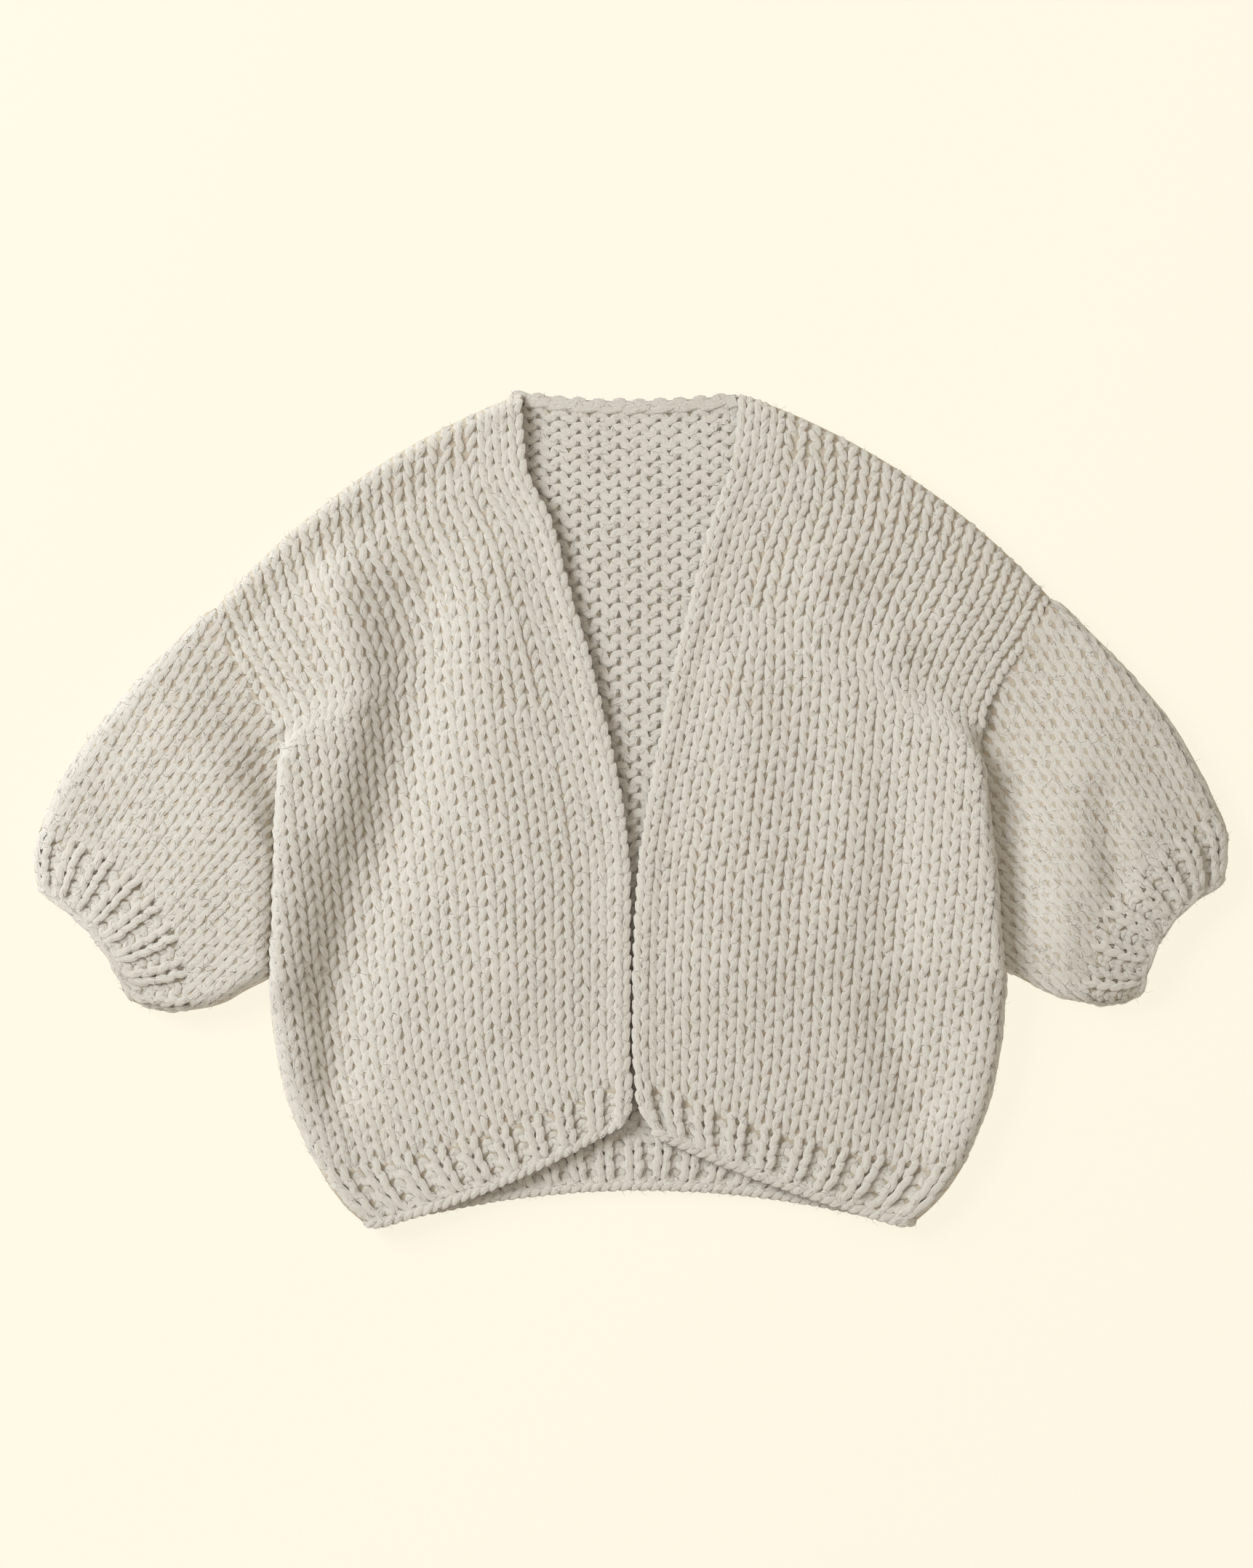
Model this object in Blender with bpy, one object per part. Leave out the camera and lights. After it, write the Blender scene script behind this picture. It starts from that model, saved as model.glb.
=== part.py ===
"""Short-sleeve cardigan of super-chunky knit, laid flat on its back panel, in metres with +Z up.

The neck points to +Y and the wearer's left to +X. The back lies on the surface and the two fronts
lie on it, turned round at the shoulders and sides to meet the back's edges. The balloon sleeves
are flattened tubes that start under the fronts' side folds and end in gathered rib cuffs.
Every table is in millimetres, a row for each section of cloth, named by its columns.
"""

import math

import bmesh
import bpy
import numpy as np

MM = 0.001

# Moves the tables' places so that the whole garment is centred on the origin
CENTRING = np.array([0.0, 1.47, 0.0])

# Cloth
WALL = 6.0
SEAM = 0.4
RIB_RISE = 2.0
POINTS_PER_RIB = 4

# Heights of the outer face above the surface
SHOULDER_TOP = 17.0
TUCKED_TOP = 13.6
NECK_ROLL_RISE = 2.5
EDGE_ROLL_RISE = 1.4

# A side that has not turned yet runs level, and one that has turned a quarter is shorter
LEAST_TURN = 0.001
LEVEL_RUN = 24.0
QUARTER_RUN = 20.0

# Shoulder turn: a half circle of cloth and the short lap that meets the back
SHOULDER_RADIUS = SHOULDER_TOP / 2
SHOULDER_LAP = 4.0
SHOULDER_FADE = 62.0

# Mesh steps
TOP_STEPS = (0.0, 0.025, 0.06, 0.16, 0.28, 0.42, 0.56, 0.68, 0.78, 0.86, 0.92, 0.965, 1.0)
TURN_STEPS = 7
BODY_ROWS = (
    0.42, 1, 1.6, 2.3, 3, 3.5, 4, 4.5, 5, 6, 7, 8, 9, 10, 10.5, 11, 11.5, 12, 13, 14, 15, 16,
)
SLEEVE_STATIONS = 11
CUFF_STATIONS = 4
CUFF_GAP = 0.6
HEM_ROWS = 4
BACK_STEPS = 11

# Ribs of one knit and one purl column
FRONT_HEM_RIBS = 10
BACK_HEM_RIBS = 20
CUFF_FACE_RIBS = 7

# Each front, from the shoulder down to the top of its rib. The edge is the open front edge and
# the side is the outermost point of the fold. bow lifts the middle of a row towards the shoulder.
# rest is the face's height where the panel lies on the back, top its height at the side, under
# the height of the cloth's end once it has turned through turn degrees, tuck the length that
# goes on past the turn, and reach how far in from the side the fold's height fades.
FRONT_COLUMNS = (
    "edge_x", "edge_y", "side_x", "side_y", "bow", "rest", "top", "under", "turn", "tuck", "reach",
)
RIGHT_FRONT_ROWS = (
    (-79, 298.5, -298, 145, 17, 15.5, 17, 17, 0, 2, 60),
    (-76, 250, -282, 108, 16, 15.5, 17, 17, 0, 2, 60),
    (-57, 207, -265, 79, 12, 15.5, 18, 18, 0, 2, 70),
    (-45, 162, -252.5, 57, 8, 15.5, 21, 21, 0, 2, 74),
    (-38, 138, -252, 45, 6, 15.5, 26, 14.5, 60, 1, 76),
    (-32, 118, -253, 32, 5, 15.5, 30, 14, 130, 2, 76),
    (-22, 77, -255.5, -1, 3, 15.5, 30.5, 14, 180, 5, 70),
    (-12, 35, -257, -35, 2, 15.5, 30.5, 14, 180, 7, 62),
    (-5, -4, -257.5, -66, 1, 15.5, 30.5, 14, 180, 7, 54),
    (-1.2, -45, -258.5, -97, 0, 15.5, 30, 14, 180, 7, 46),
    (-0.8, -82, -259, -121, 0, 15.5, 30, 14, 180, 7, 40),
    (-0.8, -95, -259, -132, 0, 15.5, 28, 9.6, 180, 4, 38),
    (-0.8, -121, -258.5, -150, 0, 15.5, 23, 0, 180, 3.5, 34),
    (-0.8, -150, -255, -175, -1, 15.5, 22, 0, 180, 3.5, 32),
    (-0.8, -172, -248, -207, -3, 15.5, 21, 0, 180, 3.5, 30),
    (-0.8, -183, -237, -234, -6, 15.8, 20, 0, 180, 3.5, 30),
    (-0.8, -190, -224, -259, -8, 16, 19, 0, 180, 3.5, 30),
)
LEFT_FRONT_ROWS = (
    (78, 298.5, 300.5, 152, 17, 15.5, 17, 17, 0, 2, 60),
    (72, 250, 281, 117, 16, 15.5, 17, 17, 0, 2, 60),
    (57, 207, 264, 93, 12, 15.5, 18, 18, 0, 2, 60),
    (45, 162, 251, 63, 8, 15.5, 21, 21, 0, 2, 56),
    (39.5, 140, 250.6, 47, 6, 15.5, 25.5, 14.5, 60, 1, 62),
    (34, 118, 253, 31, 5, 15.5, 29.5, 14, 126, 2, 60),
    (25.5, 77, 257, 1, 3, 15.5, 30.5, 14, 180, 5, 46),
    (17, 35, 260.5, -30, 2, 15.5, 30.5, 14, 180, 7, 36),
    (10, -4, 263.5, -61, 1, 15.5, 30.5, 14, 180, 7, 34),
    (4.5, -43, 265.5, -92, 0, 15.5, 30, 14, 180, 7, 34),
    (2.5, -81, 268, -117, 0, 15.5, 30, 14, 180, 7, 34),
    (1.8, -95, 268.5, -128, 0, 15.5, 28, 9.6, 180, 4, 34),
    (1, -121, 268, -150, 0, 15.5, 23, 0, 180, 3.5, 34),
    (1, -150, 264.5, -178, -1, 15.5, 22, 0, 180, 3.5, 34),
    (1, -172, 258.5, -207, -4, 15.5, 21, 0, 180, 3.5, 34),
    (1.6, -183, 249, -233, -7, 15.8, 20, 0, 180, 3.5, 34),
    (2.6, -191, 238, -257, -10, 16, 19, 0, 180, 3.5, 34),
)
# Rows of the tables above where the sleeve's seam ends and where the side seam begins
UNDERARM_ROW = 10
SIDE_SEAM_ROW = 12

# Each front's rib, from its top to the cast-on edge, in the fronts' columns
RIGHT_HEM_ROWS = (
    (-0.8, -190, -224, -259, -8, 16, 19, 0, 180, 3.5, 30),
    (-0.8, -204, -216, -272, -8, 16, 18.5, 0, 180, 3.5, 28),
    (-1.5, -216, -204, -287, -8, 16, 18, 0, 180, 3.5, 26),
    (-4.5, -223, -189, -300, -8, 16, 17.5, 0, 180, 3.5, 24),
)
LEFT_HEM_ROWS = (
    (2.6, -191, 238, -257, -10, 16, 19, 0, 180, 3.5, 34),
    (4.5, -206, 229, -271, -9, 16, 18.5, 0, 180, 3.5, 30),
    (9, -219, 217, -285, -7, 16, 18, 0, 180, 3.5, 28),
    (17, -232, 201, -299, -5, 16, 17.5, 0, 180, 3.5, 26),
)

# Each sleeve, from the armhole to the top of its cuff. upper and lower are the two folds of the
# flattened tube, bow the arch of a section towards the body, height the puff above the surface,
# upper_top and lower_top the face's height beside each fold, and free the share of the section's
# own arch: at 0 it follows the armhole seam.
SLEEVE_COLUMNS = (
    "upper_x", "upper_y", "lower_x", "lower_y", "bow", "height", "upper_top", "lower_top", "free",
)
RIGHT_SLEEVE_ROWS = (
    (-298, 145, -244, -119, 20, 17, 17, 13.6, 0.0),
    (-309, 139, -249, -120, 20, 20, 17, 13.6, 0.3),
    (-323, 125, -257, -121.5, 22, 26, 17.5, 14, 0.6),
    (-345, 103, -264, -125, 25, 32, 18, 15, 0.8),
    (-368, 77, -276, -131, 27, 35, 18.5, 17, 1.0),
    (-392, 48, -290, -139, 30, 35, 19, 18.5, 1.0),
    (-410, 20, -303, -143, 33, 33, 19, 19, 1.0),
    (-425, -16, -316, -145, 36, 28, 19, 19, 1.0),
)
LEFT_SLEEVE_ROWS = (
    (300.5, 152, 253, -114, 20, 17, 17, 13.6, 0.0),
    (310, 147, 258, -115.5, 20, 20, 17, 13.6, 0.3),
    (324, 133, 265, -117, 22, 26, 17.5, 14, 0.6),
    (345, 112, 272, -119, 24, 32, 18, 15, 0.8),
    (367, 88, 284, -125, 26, 35, 18.5, 17, 1.0),
    (388, 62, 297, -132, 28, 35, 19, 18.5, 1.0),
    (408, 28, 310, -137, 29, 33, 19, 19, 1.0),
    (424, -5, 324, -139.5, 30, 28, 19, 19, 1.0),
)
# How far out of the armhole the tube stays flat under the side fold, and how far it then rises
TUCK_COVER = 17.0
PUFF_RISE = 46.0
SEEN_SEAM_SHARE = 0.36
SEAM_BLEND_SHARE = 0.10
# How far across a flattened tube the rounded fold at each edge blends into the face
EDGE_SHARE = 0.15

# Each cuff, from its seam to the mouth, in the sleeves' columns
RIGHT_CUFF_ROWS = (
    (-425, -16, -316, -145, 36, 28, 19, 19, 1.0),
    (-428.5, -31, -330, -145.5, 28, 26, 18.5, 18.5, 1.0),
    (-428, -46, -345, -143.5, 19, 24, 18, 18, 1.0),
    (-425.5, -59, -360, -137.5, 11, 23, 18, 18, 1.0),
)
LEFT_CUFF_ROWS = (
    (424, -5, 324, -139.5, 30, 28, 19, 19, 1.0),
    (428.5, -21, 338, -141, 25, 26, 18.5, 18.5, 1.0),
    (428, -37, 353, -139.5, 20, 24, 18, 18, 1.0),
    (425.5, -52.5, 365.5, -135, 15, 23, 18, 18, 1.0),
)

# Soft folds: height above the cloth around them, half width, and the line that each follows
RIGHT_FRONT_FOLDS = (
    (-3.0, 24, ((-168, 137), (-176, 58), (-188, -11), (-207, -72), (-223, -127), (-226, -190))),
    (6.0, 24, ((-226, 165), (-216, 121), (-224, 58))),
    (4.0, 40, ((-105, 150), (-100, 20), (-85, -110))),
)
LEFT_FRONT_FOLDS = (
    (4.0, 30, ((140, 165), (154, 95), (167, 27), (150, -80))),
    (-3.0, 20, ((194, 118), (221, 40), (236, -38), (240, -108))),
    (5.0, 20, ((240, 131), (238, 79))),
    (3.0, 40, ((85, 80), (80, -110))),
    (-3.0, 22, ((168, -155), (186, -222))),
)
RIGHT_SLEEVE_FOLDS = (
    (-3.5, 14, ((-402, 32), (-374, -8))),
    (-3.0, 17, ((-312, 5), (-314, -42))),
)
LEFT_SLEEVE_FOLDS = (
    (-4.5, 13, ((338, 6), (346, -54))),
    (-2.5, 16, ((300, 60), (306, -40))),
)

# Back neck and back rib: the neck's two corners, its dip, and the rib's top and edge
BACK_NECK_DIP = 5.0
NECK_CORNER_IN = 3.0
BACK_RIB_TOP_ARCH = 23.0
BACK_EDGE_ARCH = 24.0

WOOL_COLOUR = (0.66, 0.63, 0.56, 1.0)
RIB_COLOUR = (0.64, 0.61, 0.54, 1.0)
WOOL_ROUGHNESS = 0.95


def clear_scene():
    """Start from an empty scene, without closing the file that runs this."""
    for old in list(bpy.data.objects):
        bpy.data.objects.remove(old, do_unlink=True)


def smooth(share):
    """Ease from 0 to 1, level at both ends."""
    share = min(max(share, 0.0), 1.0)
    return share * share * (3 - 2 * share)


def unit(vector):
    return vector / np.linalg.norm(vector)


class Sections:
    """A table of sections. Between two rows a value follows a smooth curve without overshoot."""

    def __init__(self, columns, rows):
        self.last = len(rows) - 1
        self.columns = {name: [row[i] for row in rows] for i, name in enumerate(columns)}
        self.slopes = {name: self.slopes_of(values) for name, values in self.columns.items()}

    def slopes_of(self, values):
        steps = [b - a for a, b in zip(values, values[1:])]
        slopes = [steps[0]]
        for before, after in zip(steps, steps[1:]):
            turns_back = before * after <= 0
            slopes.append(0.0 if turns_back else 2 * before * after / (before + after))
        return slopes + [steps[-1]]

    def value(self, name, row):
        row = min(max(row, 0.0), float(self.last))
        first = min(int(row), self.last - 1)
        share = row - first
        low, high = self.columns[name][first], self.columns[name][first + 1]
        low_slope, high_slope = self.slopes[name][first], self.slopes[name][first + 1]
        eased = smooth(share)
        bend_in = share * (1 - share) ** 2 * low_slope
        bend_out = share * share * (share - 1) * high_slope
        return low + (high - low) * eased + bend_in + bend_out

    def point(self, name, row):
        return np.array([self.value(name + "_x", row), self.value(name + "_y", row)])


def distance_to_line(place, line):
    """Shortest distance in plan from a place to a line of straight stretches."""
    nearest = math.inf
    for start, end in zip(line, line[1:]):
        start, along = np.array(start, float), np.subtract(end, start)
        share = np.clip(np.dot(place - start, along) / np.dot(along, along), 0, 1)
        nearest = min(nearest, float(np.linalg.norm(place - start - along * share)))
    return nearest


def fold_height(place, folds):
    """Height that the soft folds add at a place in plan."""
    return sum(rise * math.exp(-(distance_to_line(place, line) / width) ** 2)
               for rise, width, line in folds)


class Front:
    """One front panel or its rib: rows of cloth from the open edge out to the side and round it."""

    def __init__(self, rows, folds):
        self.table = Sections(FRONT_COLUMNS, rows)
        self.folds = folds

    def plan(self, row, inward):
        """Place in plan at a distance inward from the side fold along a row."""
        side, edge = self.table.point("side", row), self.table.point("edge", row)
        length = np.linalg.norm(edge - side)
        along = (edge - side) / length
        across = np.array([-along[1], along[0]])
        if across[1] < 0:
            across = -across
        share = inward / length
        return side + along * inward + across * self.table.value("bow", row) * 4 * share * (1 - share)

    def face_height(self, row, inward, turn_start, length, shoulder_share):
        """Height of the panel's outer face, from its folds, its side and the shoulder."""
        place = self.plan(row, inward)
        from_edge = length - inward
        height = self.table.value("rest", row) + fold_height(place, self.folds) * smooth(from_edge / 45)
        height += EDGE_ROLL_RISE * math.exp(-((from_edge - 6) / 6) ** 2)
        side_share = 1 - smooth((inward - turn_start) / self.table.value("reach", row))
        height += (self.table.value("top", row) - height) * side_share
        return height + (SHOULDER_TOP - height) * shoulder_share

    def turn_of(self, row):
        """Angle, radius and arc length of the cloth's turn at the side, and where it starts."""
        angle = math.radians(self.table.value("turn", row))
        tuck = self.table.value("tuck", row)
        drop = self.table.value("top", row) - self.table.value("under", row) - tuck * math.sin(angle)
        if angle > math.pi / 2:
            radius = drop / (1 - math.cos(angle))
            return angle, radius, radius * angle, radius
        angle = max(angle, LEAST_TURN)
        arc = LEVEL_RUN + (QUARTER_RUN - LEVEL_RUN) * angle / (math.pi / 2)
        radius = arc / angle
        return angle, radius, arc, radius * math.sin(angle) + tuck * math.cos(angle)

    def row_points(self, row, steps, shoulder_share=0.0):
        """Outer points of one row. steps are distances from the edge, as shares of the face, of
        the turn and of the tuck: 0 to 1, 1 to 2 and 2 to 3."""
        angle, radius, arc, turn_start = self.turn_of(row)
        tuck = self.table.value("tuck", row)
        length = np.linalg.norm(self.table.point("edge", row) - self.table.point("side", row))
        points = []
        top = self.face_height(row, turn_start, turn_start, length, shoulder_share)
        for step in steps:
            if step <= 1:
                inward = length + (turn_start - length) * step
                height = self.face_height(row, inward, turn_start, length, shoulder_share)
            else:
                turned = angle * min(step - 1, 1.0)
                past = tuck * max(step - 2, 0.0)
                outward, fall = radius * math.sin(turned), radius * (1 - math.cos(turned))
                inward = turn_start - outward - past * math.cos(turned)
                height = top - fall - past * math.sin(turned)
            points.append((*self.plan(row, inward), height))
        return np.array(points)

    def seam_end(self, row, gap=0.0):
        """Where a row ends in plan, on the armhole or side seam, moved inward by a gap."""
        angle, radius, arc, turn_start = self.turn_of(row)
        turned_in = turn_start - radius * math.sin(angle)
        inward = turned_in - self.table.value("tuck", row) * math.cos(angle)
        return self.plan(row, inward + gap)


def face_steps():
    turn = [1 + (i + 1) / TURN_STEPS for i in range(TURN_STEPS)]
    return list(TOP_STEPS) + turn + [3.0]


def below_shoulder(front, inward):
    """The shoulder's outline in plan, moved down the panel by a distance."""
    steps = face_steps()
    outline = front.row_points(0, steps)[:, :2]
    below = front.row_points(1, steps)[:, :2]
    rows = inward / np.linalg.norm(below - outline, axis=1)
    return np.array([front.row_points(row, [step])[0, :2] for row, step in zip(rows, steps)])


def front_grid(front):
    """All rows of a front: the lap and turn over the shoulder, then the panel down to its rib."""
    steps = face_steps()
    rows = []
    for inward, height in shoulder_turn():
        rows.append(np.column_stack([below_shoulder(front, inward), np.full(len(steps), height)]))
    for row in BODY_ROWS:
        run = np.linalg.norm(front.plan(row, 60) - front.plan(0, 60)) - SHOULDER_RADIUS
        shoulder_share = 1 - smooth(run / SHOULDER_FADE)
        rows.append(front.row_points(row, steps, shoulder_share))
    return np.array(rows)


def shoulder_turn():
    """Distance in from the shoulder's outline and height, from the lap's end up to the face."""
    yield SHOULDER_RADIUS + SHOULDER_LAP, 0.0
    for i in range(TURN_STEPS + 1):
        angle = math.pi * (1 - i / TURN_STEPS)
        inward = SHOULDER_RADIUS * (1 - math.sin(angle))
        yield inward, SHOULDER_RADIUS * (1 + math.cos(angle))


class Tube:
    """A sleeve or cuff: flattened rings that lie level on the surface, with a puffed upper face."""

    def __init__(self, rows, folds, seam=None):
        self.table = Sections(SLEEVE_COLUMNS, rows)
        self.folds = folds
        self.seam = seam

    def seam_bend(self, share):
        """How far the armhole seam lies from the straight line between its ends, in plan."""
        if self.seam is None:
            return np.zeros(2)
        lengths = [0.0]
        for a, b in zip(self.seam, self.seam[1:]):
            lengths.append(lengths[-1] + np.linalg.norm(b - a))
        place = np.array([np.interp(share * lengths[-1], lengths, [p[i] for p in self.seam])
                          for i in range(2)])
        return place - (self.seam[0] + (self.seam[-1] - self.seam[0]) * share)

    def plan(self, row, share):
        upper, lower = self.table.point("upper", row), self.table.point("lower", row)
        along = lower - upper
        across = unit(np.array([-along[1], along[0]]))
        if across[0] * upper[0] > 0:
            across = -across
        free = self.table.value("free", row)
        arch = across * self.table.value("bow", row) * 4 * share * (1 - share)
        return upper + along * share + arch * free + self.seam_bend(share) * (1 - free)

    def face_height(self, row, share):
        upper_top, lower_top = self.table.value("upper_top", row), self.table.value("lower_top", row)
        edge = upper_top + (lower_top - upper_top) * share
        place = self.plan(row, share)
        crown = math.sin(math.pi * share) ** 1.3
        height = edge + (self.table.value("height", row) - edge) * crown
        height += fold_height(place, self.folds) * crown
        if self.seam is None:
            return height
        hidden = smooth((share - SEEN_SEAM_SHARE) / SEAM_BLEND_SHARE + 0.5)
        seam_top = SHOULDER_TOP + (TUCKED_TOP - SHOULDER_TOP) * hidden
        out_of_seam = np.linalg.norm(place - self.plan(0, share)) - TUCK_COVER * hidden
        return seam_top + (height - seam_top) * smooth(out_of_seam / PUFF_RISE)

    def width(self, row):
        places = [self.plan(row, i / 24) for i in range(25)]
        return sum(np.linalg.norm(b - a) for a, b in zip(places, places[1:]))

    def ring(self, row, face, base):
        """Outer points of one ring: over the face from the upper fold, round the lower fold,
        back along the surface and round the upper fold."""
        width = self.width(row)
        upper_radius = self.face_height(row, 0) / 2
        lower_radius = self.face_height(row, 1) / 2
        first, last = upper_radius / width, 1 - lower_radius / width
        points = []
        for step in face:
            share = first + (last - first) * step
            edge_blend = smooth(min(step, 1 - step) / EDGE_SHARE)
            edge_height = 2 * (upper_radius if step < 0.5 else lower_radius)
            height = self.face_height(row, share)
            points.append((*self.plan(row, share), edge_height + (height - edge_height) * edge_blend))
        for i in range(1, TURN_STEPS):
            angle = math.pi * i / TURN_STEPS
            share = last + lower_radius * math.sin(angle) / width
            points.append((*self.plan(row, share), lower_radius * (1 + math.cos(angle))))
        for step in reversed(base):
            share = first + (last - first) * step
            points.append((*self.plan(row, share), 0.0))
        for i in range(1, TURN_STEPS):
            angle = math.pi * i / TURN_STEPS
            share = first - upper_radius * math.sin(angle) / width
            points.append((*self.plan(row, share), upper_radius * (1 - math.cos(angle))))
        return np.array(points)

    def grid(self, stations, face, base, first_row=0.0):
        rows = [first_row + (self.table.last - first_row) * i / (stations - 1) for i in range(stations)]
        return np.array([self.ring(row, face, base) for row in rows])


def tangents(grid, axis, closed):
    """Direction of the grid's lines at each point, the mean of the steps before and after it."""
    ahead = np.roll(grid, -1, axis) - grid
    if not closed:
        edge = [slice(None)] * 3
        before_edge = list(edge)
        edge[axis], before_edge[axis] = -1, -2
        ahead[tuple(edge)] = ahead[tuple(before_edge)]
    ahead = ahead / np.linalg.norm(ahead, axis=2, keepdims=True)
    behind = np.roll(ahead, 1, axis)
    if not closed:
        start = [slice(None)] * 3
        start[axis] = 0
        behind[tuple(start)] = ahead[tuple(start)]
    return ahead + behind


def outward_normals(grid, closed):
    """Unit normals of a grid of rows and columns, pointing up on most of it."""
    normals = np.cross(tangents(grid, 1, closed), tangents(grid, 0, False))
    normals /= np.linalg.norm(normals, axis=2, keepdims=True)
    seen = normals[len(grid) // 2, 4]
    return normals if seen[2] > 0 else -normals


def square_to_row(normals, grid, row, closed, first=0):
    """Turn a row's normals, from a column on, into the upright plane through the row. Two walls
    then meet squarely at a seam, and a tight turn's inner points keep their order."""
    along = tangents(grid, 1, closed)[row]
    across = np.column_stack([-along[:, 1], along[:, 0], np.zeros(len(along))])
    sizes = np.linalg.norm(across, axis=1, keepdims=True)
    across = across / np.maximum(sizes, 1e-9)
    flat = normals[row] - across * np.sum(normals[row] * across, axis=1, keepdims=True)
    flat /= np.linalg.norm(flat, axis=1, keepdims=True)
    normals[row, first:] = flat[first:]


def make_wall(name, outer, inner, closed, colour, collection):
    """A closed wall of cloth between an outer and an inner grid of points, in millimetres."""
    rows, columns = outer.shape[:2]
    mesh = bpy.data.meshes.new(name)
    bm = bmesh.new()
    layers = []
    for grid in (outer, inner):
        layers.append([[bm.verts.new((point + CENTRING) * MM) for point in row] for row in grid])
    spans = columns if closed else columns - 1
    for layer in layers:
        for r in range(rows - 1):
            for c in range(spans):
                d = (c + 1) % columns
                bm.faces.new((layer[r][c], layer[r][d], layer[r + 1][d], layer[r + 1][c]))
    rims = [[(r, c) for c in range(columns)] for r in (0, rows - 1)]
    if not closed:
        rims += [[(r, c) for r in range(rows)] for c in (0, columns - 1)]
    for rim in rims:
        pairs = list(zip(rim, rim[1:] + rim[:1] if closed else rim[1:]))
        for (r, c), (s, d) in pairs:
            bm.faces.new((layers[0][r][c], layers[0][s][d], layers[1][s][d], layers[1][r][c]))
    bmesh.ops.recalc_face_normals(bm, faces=bm.faces)
    bm.to_mesh(mesh)
    bm.free()
    mesh.shade_smooth()
    mesh.set_sharp_from_angle(angle=math.radians(50))
    made = bpy.data.objects.new(name, mesh)
    collection.objects.link(made)
    material = bpy.data.materials.new(name)
    material.use_nodes = True
    shader = material.node_tree.nodes["Principled BSDF"]
    shader.inputs["Base Color"].default_value = colour
    shader.inputs["Roughness"].default_value = WOOL_ROUGHNESS
    shader.inputs["Metallic"].default_value = 0.0
    mesh.materials.append(material)
    return made


def rib_relief(count, first, last):
    """One in two columns of a rib stands up: the columns from first to last, in groups of four."""
    raised = np.zeros(count)
    for i in range(first, last):
        raised[i] = RIB_RISE if (i - first) % POINTS_PER_RIB in (1, 2) else 0.0
    return raised


def add_front(name, front, collection):
    outer = front_grid(front)
    normals = outward_normals(outer, False)
    square_to_row(normals, outer, -1, False)
    for row in range(-len(BODY_ROWS), -1):
        square_to_row(normals, outer, row, False, len(TOP_STEPS) - 1)
    return make_wall(name, outer, outer - WALL * normals, False, WOOL_COLOUR, collection)


def hem_steps(front):
    """Steps of even length along a rib's row, as many as its knit and purl columns need."""
    angle, radius, arc, turn_start = front.turn_of(0)
    length = np.linalg.norm(front.table.point("edge", 0) - front.table.point("side", 0))
    face = length - turn_start
    count = FRONT_HEM_RIBS * POINTS_PER_RIB
    steps = []
    for i in range(count + 1):
        run = (face + arc) * i / count
        steps.append(run / face if run <= face else 1 + (run - face) / arc)
    return steps + [3.0]


def add_front_hem(name, front, collection):
    steps = hem_steps(front)
    rows = [first_hem_row(front) + (front.table.last - first_hem_row(front)) * i / (HEM_ROWS - 1)
            for i in range(HEM_ROWS)]
    base = np.array([front.row_points(row, steps) for row in rows])
    normals = outward_normals(base, False)
    square_to_row(normals, base, 0, False)
    raised = rib_relief(len(steps), 0, len(steps) - 2)
    facing = np.clip(normals[:, :, 2] * 3 + 1, 0, 1)
    outer = base + normals * (raised[None, :] * facing)[:, :, None]
    inner = base - WALL * normals
    return make_wall(name, outer, inner, False, RIB_COLOUR, collection)


def first_hem_row(front):
    """The rib starts one seam gap below the panel."""
    first, second = front.table.point("edge", 0), front.table.point("edge", 1)
    side, next_side = front.table.point("side", 0), front.table.point("side", 1)
    return SEAM / min(np.linalg.norm(second - first), np.linalg.norm(next_side - side))


def armhole_seam(front, away):
    """The armhole seam in plan, from the shoulder's outline to the underarm, one gap outside."""
    places = [front.seam_end(row) for row in armhole_rows()]
    last = len(places) - 1
    moved = []
    for i, place in enumerate(places):
        along = unit(places[min(i + 1, last)] - places[max(i - 1, 0)])
        across = np.array([-along[1], along[0]])
        if across[0] * away < 0:
            across = -across
        moved.append(place + across * SEAM)
    return moved


def armhole_rows():
    """The front's rows that end on the armhole seam, from the shoulder's outline."""
    return [0.0, 0.2] + [row for row in BODY_ROWS if row <= UNDERARM_ROW]


def sleeve_steps(front, sleeve):
    """Steps across a sleeve's face that start from the front's rows, between its rounded edges."""
    places = [front.seam_end(row) for row in armhole_rows()]
    lengths = np.cumsum([0.0] + [np.linalg.norm(b - a) for a, b in zip(places, places[1:])])
    shares = lengths / lengths[-1]
    width = sleeve.width(0)
    first, last = sleeve.face_height(0, 0) / 2 / width, 1 - sleeve.face_height(0, 1) / 2 / width
    kept = [(share - first) / (last - first) for share in shares[2:-1]]
    return [0.0] + kept + [1.0]


def make_sleeve(rows, folds, front, away):
    """A sleeve whose first ring lies along the front's armhole seam."""
    seam = armhole_seam(front, away)
    table = [list(row) for row in rows]
    table[0][0:2] = seam[0]
    table[0][2:4] = seam[-1]
    return Tube(table, folds, seam)


def add_sleeve(name, sleeve, front, collection):
    steps = sleeve_steps(front, sleeve)
    outer = sleeve.grid(SLEEVE_STATIONS, steps, steps)
    normals = outward_normals(outer, True)
    square_to_row(normals, outer, 0, True)
    square_to_row(normals, outer, -1, True)
    return make_wall(name, outer, outer - WALL * normals, True, WOOL_COLOUR, collection)


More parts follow.
